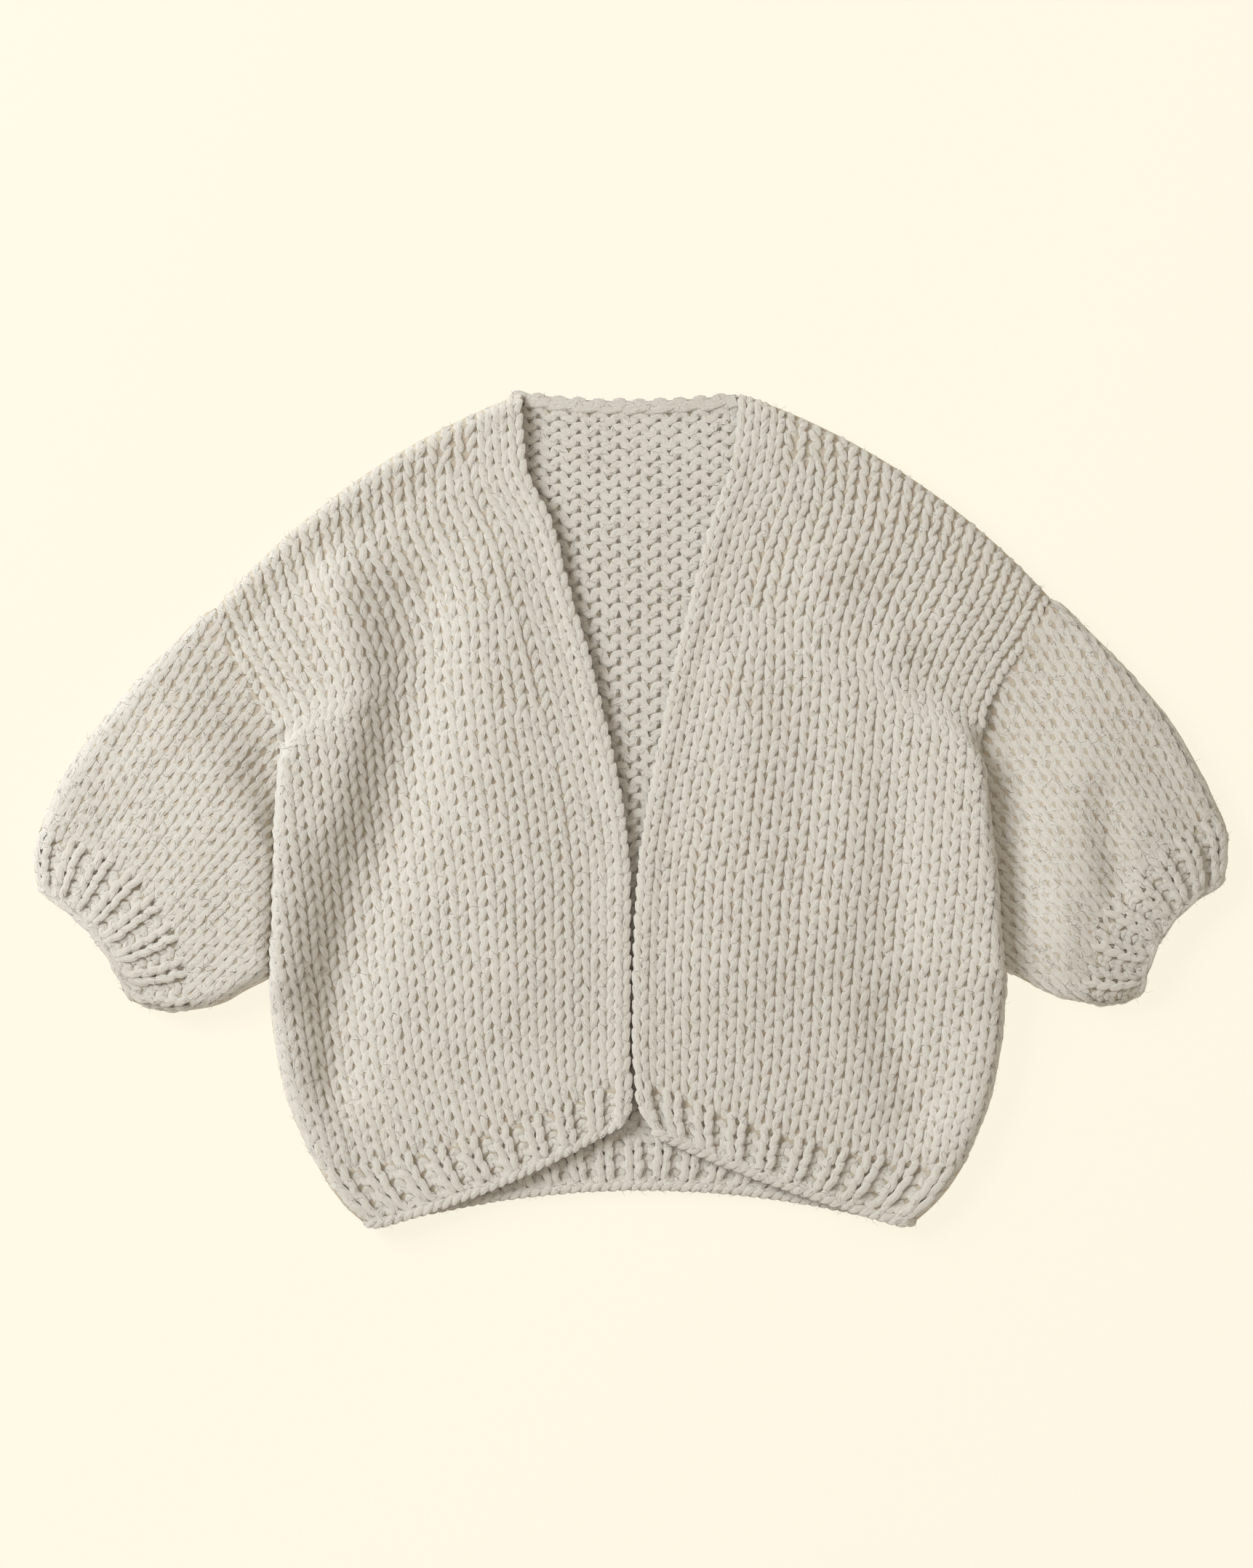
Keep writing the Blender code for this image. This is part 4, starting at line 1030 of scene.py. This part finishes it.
# A row for each ring, from the armhole to the cuff, in millimetres: where its upper and lower folds
# lie in plan, how far the line between them bows, the height of the face in its middle and at its
# folds, and how free it is of the armhole seam's own bends.
SLEEVE_COLUMNS = (
    "upper_x", "upper_y", "lower_x", "lower_y", "bow", "height", "upper_top", "lower_top", "free",
)
RIGHT_SLEEVE_ROWS = (
    (-298, 145, -244, -119, 20, 17, 17, 13.6, 0.0),
    (-309, 139, -249, -120, 20, 27, 18, 19, 0.3),
    (-323, 125, -257, -121.5, 22, 31, 20, 25, 0.6),
    (-345, 103, -264, -125, 25, 32, 22, 29, 0.8),
    (-368, 77, -276, -131, 27, 30, 23, 28, 1.0),
    (-392, 48, -290, -139, 30, 27.5, 23.5, 26, 1.0),
    (-410, 20, -303, -143, 33, 25.5, 22.5, 24, 1.0),
    (-425, -16, -316, -145, 36, 24, 21, 22, 1.0),
)
LEFT_SLEEVE_ROWS = (
    (300.5, 152, 253, -114, 20, 17, 17, 13.6, 0.0),
    (310, 147, 258, -115.5, 20, 20, 17.5, 13.6, 0.3),
    (324, 133, 265, -117, 22, 22, 18.5, 14, 0.6),
    (345, 112, 272, -119, 24, 24.5, 20, 15, 0.8),
    (367, 88, 284, -125, 26, 27, 21.5, 16.5, 1.0),
    (388, 62, 297, -132, 28, 28, 22, 18, 1.0),
    (408, 28, 310, -137, 29, 27.5, 22, 18.5, 1.0),
    (424, -5, 324, -139.5, 30, 26, 21, 18.5, 1.0),
)
RIGHT_SLEEVE_FOLDS = (
    (-3.5, 14, ((-402, 32), (-374, -8))),
    (1.5, 26, ((-305, -20), (-322, -90))),
)
LEFT_SLEEVE_FOLDS = (
    (-4.5, 13, ((338, 6), (346, -54))),
    (-2.5, 16, ((300, 60), (306, -40))),
)
# How each sleeve rises out of its seam: over what distance where it shows and where it is tucked
# under the front's side, how far it stays flat there, and the share of the seam that shows. Then
# over what share of the seam the two blend, and the height where it is tucked.
RIGHT_SLEEVE_RISE = {"seen": 80.0, "tucked": 13.0, "flat": 4.0, "seen_share": 0.45}
LEFT_SLEEVE_RISE = {"seen": 56.0, "tucked": 56.0, "flat": 20.0, "seen_share": 0.36}
SEAM_BLEND_SHARE = 0.5
TUCKED_TOP = 13.6
# The fronts' rows that end on the armhole seam, and the gap at a seam
ARMHOLE_ROWS = np.concatenate([[0.0, 0.2], np.linspace(0.42, 10, 24)])
SEAM = 0.4
# The share over which a face blends into its rounded edges, the step that finds a fold's direction,
# and how far the face's crown lies towards the lower fold and how boxy it is
EDGE_SHARE = 0.15
FLAT_STEP = 0.02
CROWN_SHIFT = 1.2
CROWN_BOX = 0.75
# The stitches' columns run towards one place beyond each cuff, and its courses lie round it
FOCUS = (669.0, -479.0)
STITCH_ANGLE = 0.0221
COURSE_HEIGHT = 11.7
COURSE_LEAN = 0.15
MIDDLE_ANGLE = 0.646
FIRST_ANGLE = 0.42
SLEEVE_FUZZ_SHARE = 0.85
SLEEVE_SWING = 0.18
SLEEVE_LOOP_DEPTH = 0.85
SLEEVE_PANEL_DEPTH = 1.95
SLEEVE_HAIRS = 2100


class Tube:
    """A sleeve or cuff: flattened rings that lie level on the surface, with a puffed upper face."""

    def __init__(self, rows, folds, seam=None, rise=None):
        table = [list(row) for row in rows]
        self.folds = folds
        self.seam = seam
        self.rise = rise
        if seam is not None:
            table[0][0:4] = [*seam[0], *seam[-1]]
            steps = np.linalg.norm(np.diff(seam, axis=0), axis=1)
            self.run = np.concatenate([[0], np.cumsum(steps)])
        self.table = Sections(SLEEVE_COLUMNS, table)

    def seam_bend(self, share):
        """How far the armhole seam lies from the straight line between its ends, in plan."""
        if self.seam is None:
            return np.zeros(share.shape + (2,))
        place = [np.interp(share * self.run[-1], self.run, self.seam[:, i]) for i in range(2)]
        straight = self.seam[0] + (self.seam[-1] - self.seam[0]) * share[..., None]
        return np.stack(place, -1) - straight

    def plan(self, row, share):
        """Places in plan at shares of the way from the upper fold to the lower one."""
        row, share = np.broadcast_arrays(np.asarray(row, float), np.asarray(share, float))
        upper, lower = self.table.point("upper", row), self.table.point("lower", row)
        along = lower - upper
        across = np.stack([-along[..., 1], along[..., 0]], -1)
        across = across / np.linalg.norm(across, axis=-1, keepdims=True)
        across = across * -np.sign(across[..., :1] * upper[..., :1])
        free = self.table.value("free", row)[..., None]
        arch = across * (self.table.value("bow", row) * 4 * share * (1 - share))[..., None]
        return upper + along * share[..., None] + arch * free + self.seam_bend(share) * (1 - free)

    def face_height(self, row, share):
        """Height of the upper face, which starts low along the armhole seam."""
        row, share = np.broadcast_arrays(np.asarray(row, float), np.asarray(share, float))
        upper_top, lower_top = self.table.value("upper_top", row), self.table.value("lower_top", row)
        edge = upper_top + (lower_top - upper_top) * share
        place = self.plan(row, share)
        crown = np.sin(np.pi * np.clip(share, 0, 1) ** CROWN_SHIFT).clip(0) ** CROWN_BOX
        height = edge + (self.table.value("height", row) - edge) * crown
        height = height + fold_height(place, self.folds) * crown
        if self.seam is None:
            return height
        hidden = smooth((share - self.rise["seen_share"]) / SEAM_BLEND_SHARE + 0.5)
        seam_top = SHOULDER_TOP + (TUCKED_TOP - SHOULDER_TOP) * hidden
        out = place - self.plan(0.0, share)
        out_of_seam = np.hypot(out[..., 0], out[..., 1]) - self.rise["flat"] * hidden
        run = self.rise["seen"] + (self.rise["tucked"] - self.rise["seen"]) * hidden
        return seam_top + (height - seam_top) * smooth(out_of_seam / run)

    def shape(self, row):
        """Radii of the two folds at rows, and where the face between them starts and ends."""
        places = self.plan(row, np.linspace(0, 1, 25))
        width = np.linalg.norm(np.diff(places, axis=1), axis=2).sum(1)[:, None]
        upper, lower = self.face_height(row, 0.0) / 2, self.face_height(row, 1.0) / 2
        return width, upper, lower, upper / width, 1 - lower / width

    def ring(self, row, face, turns, base):
        """Outer points of rings, up round the upper fold, over the face, down round the lower fold
        and back along the surface, with the flat cloth's places in plan."""
        row = np.asarray(row, float)[:, None]
        width, upper, lower, first, last = self.shape(row)
        share = first + (last - first) * face
        blend = smooth(np.minimum(face, 1 - face) / EDGE_SHARE)
        edge = 2 * np.where(face < 0.5, upper, lower)
        height = edge + (self.face_height(row, share) - edge) * blend
        middle = np.concatenate([self.plan(row, share), height[..., None]], -1)

        def fold(start, outward, radius, turned):
            plan = self.plan(row, start + outward * radius * np.sin(turned) / width)
            return np.concatenate([plan, (radius * (1 + np.cos(turned)))[..., None]], -1)

        def flattened(start, outward, radius, turned):
            inside = self.plan(row, start - outward * FLAT_STEP)
            step = (self.plan(row, start) - inside) / FLAT_STEP
            return self.plan(row, start) + step * (radius * turned / width)[..., None]

        up, down = turns[::-1], turns
        points = [fold(first, -1, upper, up), middle, fold(last, 1, lower, down)]
        flat = [flattened(first, -1, upper, up), middle[..., :2], flattened(last, 1, lower, down)]
        if len(base):
            share = first + (last - first) * base[::-1]
            level = self.plan(row, share)
            points.append(np.concatenate([level, np.zeros(level.shape[:2] + (1,))], -1))
        return np.concatenate(points, axis=1), np.concatenate(flat, axis=1)


def armhole(front, side):
    """The armhole seam in plan, from the shoulder's outline to the underarm, one gap outside."""
    places = front.seam_end(ARMHOLE_ROWS)
    along = np.gradient(places, axis=0)
    across = np.stack([-along[:, 1], along[:, 0]], -1)
    across /= np.linalg.norm(across, axis=1, keepdims=True)
    return places + across * np.sign(across[:, :1] * side) * SEAM


def sleeve_numbers(flat):
    """Stitch and course numbers at places in plan."""
    across, up = FOCUS[0] - np.abs(flat[..., 0]), flat[..., 1] - FOCUS[1]
    angle, reach = np.arctan2(across, up), np.hypot(across, up)
    course = reach * (1 + COURSE_LEAN * (angle - MIDDLE_ANGLE)) / COURSE_HEIGHT
    return (angle - FIRST_ANGLE) / STITCH_ANGLE, course


# Each cuff, from its seam to its mouth: the sleeve's last stitches lead on into it
RIGHT_CUFF_ROWS = (
    RIGHT_SLEEVE_ROWS[-1],
    (-428.5, -31, -330, -145.5, 28, 23.5, 20, 20.5, 1.0),
    (-428, -46, -345, -143.5, 19, 23, 19, 19, 1.0),
    (-425.5, -59, -360, -137.5, 11, 22, 18, 18.5, 1.0),
)
LEFT_CUFF_ROWS = (
    LEFT_SLEEVE_ROWS[-1],
    (428.5, -21, 338, -141, 25, 25, 20, 18.5, 1.0),
    (428, -37, 353, -139.5, 20, 24, 18, 18, 1.0),
    (425.5, -52.5, 365.5, -135, 15, 23, 18, 18, 1.0),
)
CUFF_LEAD_ROWS = (0.2, 0.4)
# A tube's rows, its steps across the face and round the folds, and those along its base, for the
# stitches and for the panel
SLEEVE_ROWS = np.linspace(0, 7, 61)
SLEEVE_FACE = np.linspace(0, 1, 56)
SLEEVE_TURNS = np.linspace(0.12, 0.86, 10) * np.pi
SLEEVE_PANEL_ROWS = np.linspace(0, 7, 33)
PANEL_FACE = np.linspace(0, 1, 33)
PANEL_FOLDS = np.linspace(0.1, 0.9, 7) * np.pi
PANEL_BASE = np.linspace(0, 1, 12)
cuff_stitches = {}
for name, rows, cuff_rows, folds, front, side, rise in (
    ("right", RIGHT_SLEEVE_ROWS, RIGHT_CUFF_ROWS, RIGHT_SLEEVE_FOLDS, right_front, -1, RIGHT_SLEEVE_RISE),
    ("left", LEFT_SLEEVE_ROWS, LEFT_CUFF_ROWS, LEFT_SLEEVE_FOLDS, left_front, 1, LEFT_SLEEVE_RISE),
):
    sleeve = Tube(rows, folds, armhole(front, side), rise)
    panel_grid, flat = sleeve.ring(SLEEVE_PANEL_ROWS, PANEL_FACE, PANEL_FOLDS, PANEL_BASE)
    panel = add_panel("sleeve_" + name, panel_grid, wool_painted_shade_backing, True, SLEEVE_PANEL_DEPTH)
    grid, flat = sleeve.ring(SLEEVE_ROWS, SLEEVE_FACE, SLEEVE_TURNS, [])
    cuff_stitches[name] = sleeve_numbers(flat)[0][-1]
    grid_on, flat_on = Tube(cuff_rows, folds).ring(CUFF_LEAD_ROWS, SLEEVE_FACE, SLEEVE_TURNS, [])
    grid, flat = led_past_seam(np.vstack([grid, grid_on]), np.vstack([flat, flat_on]))
    stitch, course = sleeve_numbers(flat)
    cloth = Cloth(grid, grid_normals(grid), stitch, course)
    columns = np.arange(math.floor(stitch.min()), math.ceil(stitch.max()))
    runs = []
    for level in np.arange(math.floor(course.min()) + FIRST_COURSE, course.max() + 1, 1.0):
        runs += yarn_runs(cloth, *loops(columns, level, swing=SLEEVE_SWING, depth=SLEEVE_LOOP_DEPTH))
    stitches = add_yarn("sleeve_" + name + "_stitches", runs, wool_yarn, SLEEVE_FUZZ_SHARE)
    fuzz = add_fuzz("sleeve_" + name + "_fuzz", runs, SLEEVE_HAIRS)
    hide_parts("sleeve_" + name)


# The cuffs: the sleeve's stitches gathered into a rib of five courses in the same wool, bound off
# in a smooth roll. The columns of the left one stand out more.
CUFF_COURSES = 5
CUFF_STOUT = 1.0
RIGHT_CUFF_RELIEF = 1.4
LEFT_CUFF_RELIEF = 2.2
# The bound-off edge: how far up the cuff it lies and how far inside its face, and its two strands'
# pitch, distance from its middle and radius
BIND_OFF_IN = 2.0
BIND_OFF_SINK = 3.6
BIND_OFF_TWIST = (46.0, 0.9, 2.9)
for name, rows, folds, relief in (
    ("right", RIGHT_CUFF_ROWS, RIGHT_SLEEVE_FOLDS, RIGHT_CUFF_RELIEF),
    ("left", LEFT_CUFF_ROWS, LEFT_SLEEVE_FOLDS, LEFT_CUFF_RELIEF),
):
    cuff = Tube(rows, folds)
    panel_grid, flat = cuff.ring(RIB_PANEL_ROWS, PANEL_FACE, PANEL_FOLDS, PANEL_BASE)
    panel = add_panel("cuff_" + name, panel_grid, wool_painted_shade_backing, True, RIB_PANEL_DEPTH)
    grid, flat = cuff.ring(RIB_ROWS, SLEEVE_FACE, SLEEVE_TURNS, [])
    numbers = cuff_stitches[name]
    first, last = math.floor(numbers.min()), math.ceil(numbers.max())
    runs = knit_rib(grid, numbers, CUFF_COURSES, first, last, relief, CUFF_STOUT)
    whole_grid, flat = cuff.ring(RIB_ROWS, SLEEVE_FACE, SLEEVE_TURNS, PANEL_BASE)
    line, up = edge_line(whole_grid, BIND_OFF_IN, BIND_OFF_SINK, closed=True)
    runs += twisted_edge(np.vstack([line, line[:1]]), np.vstack([up, up[:1]]), *BIND_OFF_TWIST)
    ribs = add_yarn("cuff_" + name + "_ribs", runs, wool_yarn, RIB_FUZZ_SHARE)
    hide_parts("cuff_" + name)
    fuzz = add_fuzz("cuff_" + name + "_fuzz", runs, RIB_HAIRS)


# The back: one panel of the same wool, whose purl side shows inside the open neck. It lies flat,
# sewn to the fronts at the shoulders and sides and to the sleeves, and its neck edge is bound.
BACK_TOP = 3.2
BACK_NECK_DIP = 5.0
NECK_CORNER_IN = 3.0
NECK_ROLL_RISE = 2.5
BACK_RIB_TOP_ARCH = 23.0
# Steps along the shoulder, the armhole seam's first points that its lap covers, and the side seam
BACK_SHOULDER_STEPS = np.array([0, 0.06, 0.28, 0.56, 0.78, 0.92, 1.0])
LAPPED_POINTS = 4
SIDE_SEAM_ROWS = np.linspace(12, 16, 6)


def back_side(front, seam, side):
    """The back's outline on one side in plan: neck corner, shoulder, armhole and side seam."""
    lap = SHOULDER_RADIUS + SHOULDER_LAP + SEAM
    outline = front.points(0.0, BACK_SHOULDER_STEPS, 1.0)[:, :2]
    below = front.points(1.0, BACK_SHOULDER_STEPS, 1.0)[:, :2]
    lap_rows = lap / np.linalg.norm(below - outline, axis=1)
    lap_line = front.points(lap_rows, BACK_SHOULDER_STEPS, 1.0)[:, :2]
    corner_in = np.array([-side * NECK_CORNER_IN, -1.0])
    places = [outline[:1] + corner_in, lap_line[:1] + corner_in, lap_line[1:]]
    inward = np.array([-side * SEAM * 2, 0.0])
    places.append(seam[LAPPED_POINTS:] + inward)
    places.append(front.seam_end(SIDE_SEAM_ROWS, SEAM))
    return np.vstack(places)


def flat_panel(name, top):
    """A wall of backing under a grid of points, its underside on the surface."""
    points = np.concatenate([top, top * np.array([1, 1, 0])]).reshape(-1, 3)
    faces = wall_faces(*top.shape[:2], False)
    return build_mesh(name + "_panel", points, faces.tolist(), wool_painted_shade_backing)


right_side = back_side(right_front, armhole(right_front, -1), -1)
left_side = back_side(left_front, armhole(left_front, 1), 1)
share = np.linspace(0, 1, 25)
order = np.arange(len(right_side))
neck_share = 1 - smooth(order / 2)
seam_start = len(order) - len(SIDE_SEAM_ROWS)
rib_share = smooth((order - seam_start) / (len(SIDE_SEAM_ROWS) - 1))
lift = BACK_RIB_TOP_ARCH * rib_share - BACK_NECK_DIP * neck_share
plan = right_side[:, None] + (left_side - right_side)[:, None] * share[None, :, None]
plan[..., 1] += lift[:, None] * 4 * share * (1 - share)
height = (BACK_TOP + NECK_ROLL_RISE * neck_share)[:, None, None]
top = np.concatenate([plan, np.broadcast_to(height, plan.shape[:2] + (1,))], -1)
back_panel = flat_panel("back", top)

# The purl side's stitches, over the part that the open fronts show: how wide and how far down they
# reach and their grid, their width, and the height of a course by its place in y
BACK_HALF_WIDTH = 104
BACK_COLUMNS = 53
BACK_MIDDLE = BACK_COLUMNS // 2
BACK_FOOT = -240.0
BACK_STITCH_WIDTH = 14.4
BACK_STITCH_SHIFT = 0.1
BACK_COURSE_SHIFT = 0.25
BACK_PITCHES = ((-200, 11.4), (110, 11.4), (162, 10.9), (215, 9.9), (266, 8.8), (300, 8.5))
# How far a course goes on under the fronts: from this far below the neck, at least and at most
BACK_MARGIN_START = 6
BACK_LEAST_MARGIN = -2
BACK_MOST_MARGIN = 20.0
# Its yarn: how far it lies above the wall and inside the cloth's face, and how its loops run
BACK_LIFT = 1.2
BACK_SINK = 3.2
BACK_SWING = 0.16
BACK_LOOP_DEPTH = 1.35
BACK_STOUT = 1.1
BACK_FUZZ_SHARE = 0.85
BACK_HAIRS = 1500
# The neck edge: over what distance it rises, where its bound edge lies and ends, and the pitch of
# its two strands, their distance from its middle and their radius
NECK_ROLL_WIDTH = 12
NECK_EDGE_SHIFT = np.array([0, -4.6, -4.0])
NECK_EDGE_HALF = 77
NECK_EDGE_TWIST = (36.0, 1.1, 4.1)
neck_left, neck_right = right_side[0], left_side[0]
x = np.linspace(-BACK_HALF_WIDTH, BACK_HALF_WIDTH, BACK_COLUMNS)
down = np.linspace(0, 1, 100)[:, None]
across_share = (x - neck_left[0]) / (neck_right[0] - neck_left[0])
neck_y = neck_left[1] + (neck_right[1] - neck_left[1]) * across_share
neck_y = neck_y - BACK_NECK_DIP * 4 * across_share * (1 - across_share)
y = neck_y * (1 - down) + BACK_FOOT * down
neck_rise = NECK_ROLL_RISE * (1 - smooth((neck_y - y) / NECK_ROLL_WIDTH))
grid = np.stack([np.broadcast_to(x, y.shape), y, WALL + BACK_LIFT + neck_rise], -1)
pitch = np.interp(y, [row[0] for row in BACK_PITCHES], [row[1] for row in BACK_PITCHES])
rise = -np.diff(y, axis=0) * 2 / (pitch[1:] + pitch[:-1])
course = -np.concatenate([np.zeros((1, len(x))), np.cumsum(rise, axis=0)])
stitch = np.broadcast_to(x / BACK_STITCH_WIDTH + BACK_STITCH_SHIFT, y.shape).copy()
back_cloth = Cloth(grid, grid_normals(grid), stitch, course)
runs = []
for level in np.arange(-FIRST_COURSE - BACK_COURSE_SHIFT, course.min(), -1.0):
    level_y = np.interp(-level, -course[:, BACK_MIDDLE], y[:, BACK_MIDDLE])
    margin = y[0, BACK_MIDDLE] - level_y - BACK_MARGIN_START
    margin = np.clip(margin, BACK_LEAST_MARGIN, BACK_MOST_MARGIN)
    seen = [
        np.interp(level_y, [row[1] for row in rows[::-1]], [row[0] for row in rows[::-1]]) + side * margin
        for rows, side in ((RIGHT_FRONT_ROWS, -1), (LEFT_FRONT_ROWS, 1))
    ]
    first, last = (int(round(edge / BACK_STITCH_WIDTH)) for edge in seen)
    u, v, z = loops(range(first, last), level, -1.0, BACK_SWING, BACK_LOOP_DEPTH)
    runs += yarn_runs(back_cloth, u, v, z, sink=BACK_SINK, stout=BACK_STOUT)
neck_line = grid[0] + NECK_EDGE_SHIFT
within = np.abs(x) < NECK_EDGE_HALF
runs += twisted_edge(neck_line[within], grid_normals(grid)[0][within], *NECK_EDGE_TWIST)
back_stitches = add_yarn("back_stitches", runs, wool_yarn, BACK_FUZZ_SHARE)
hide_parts("back")
back_fuzz = add_fuzz("back_fuzz", runs, BACK_HAIRS)


# The back's rib, seen below the fronts: forty stitches of one by one rib in the same wool, worked
# on from the same kind of cast-on edge and sewn to the fronts' ribs at the sides.
BACK_EDGE_ARCH = 24.0
BACK_RIB_STITCHES = 40
BACK_RIB_ROWS = np.linspace(0.03, 3, 13)
BACK_RIB_LIFT = 0.8
BACK_RIB_HAIRS = 700
right_hem, left_hem = Front(RIGHT_HEM_ROWS, ()), Front(LEFT_HEM_ROWS, ())
right, left = (hem.seam_end(BACK_RIB_ROWS, SEAM) for hem in (right_hem, left_hem))
share = np.linspace(0, 1, 81)
down = (BACK_RIB_ROWS / BACK_RIB_ROWS[-1])[:, None]
plan = right[:, None] + (left - right)[:, None] * share[None, :, None]
arch = BACK_RIB_TOP_ARCH + (BACK_EDGE_ARCH - BACK_RIB_TOP_ARCH) * down
plan[..., 1] += arch * 4 * share * (1 - share)
grid = np.concatenate([plan, np.full(plan.shape[:2] + (1,), WALL + BACK_RIB_LIFT)], -1)
top = grid - np.array([0, 0, WALL + BACK_RIB_LIFT - BACK_TOP])
rib_panel = flat_panel("hem_back", top)
runs = knit_rib(grid, share * BACK_RIB_STITCHES, RIB_COURSES, 0, BACK_RIB_STITCHES)
runs += twisted_edge(*edge_line(grid, CAST_ON_IN, CAST_ON_SINK), CAST_ON_TWIST)
back_ribs = add_yarn("hem_back_ribs", runs, wool_yarn, RIB_FUZZ_SHARE)
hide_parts("hem_back")
rib_fuzz = add_fuzz("hem_back_fuzz", runs, BACK_RIB_HAIRS)
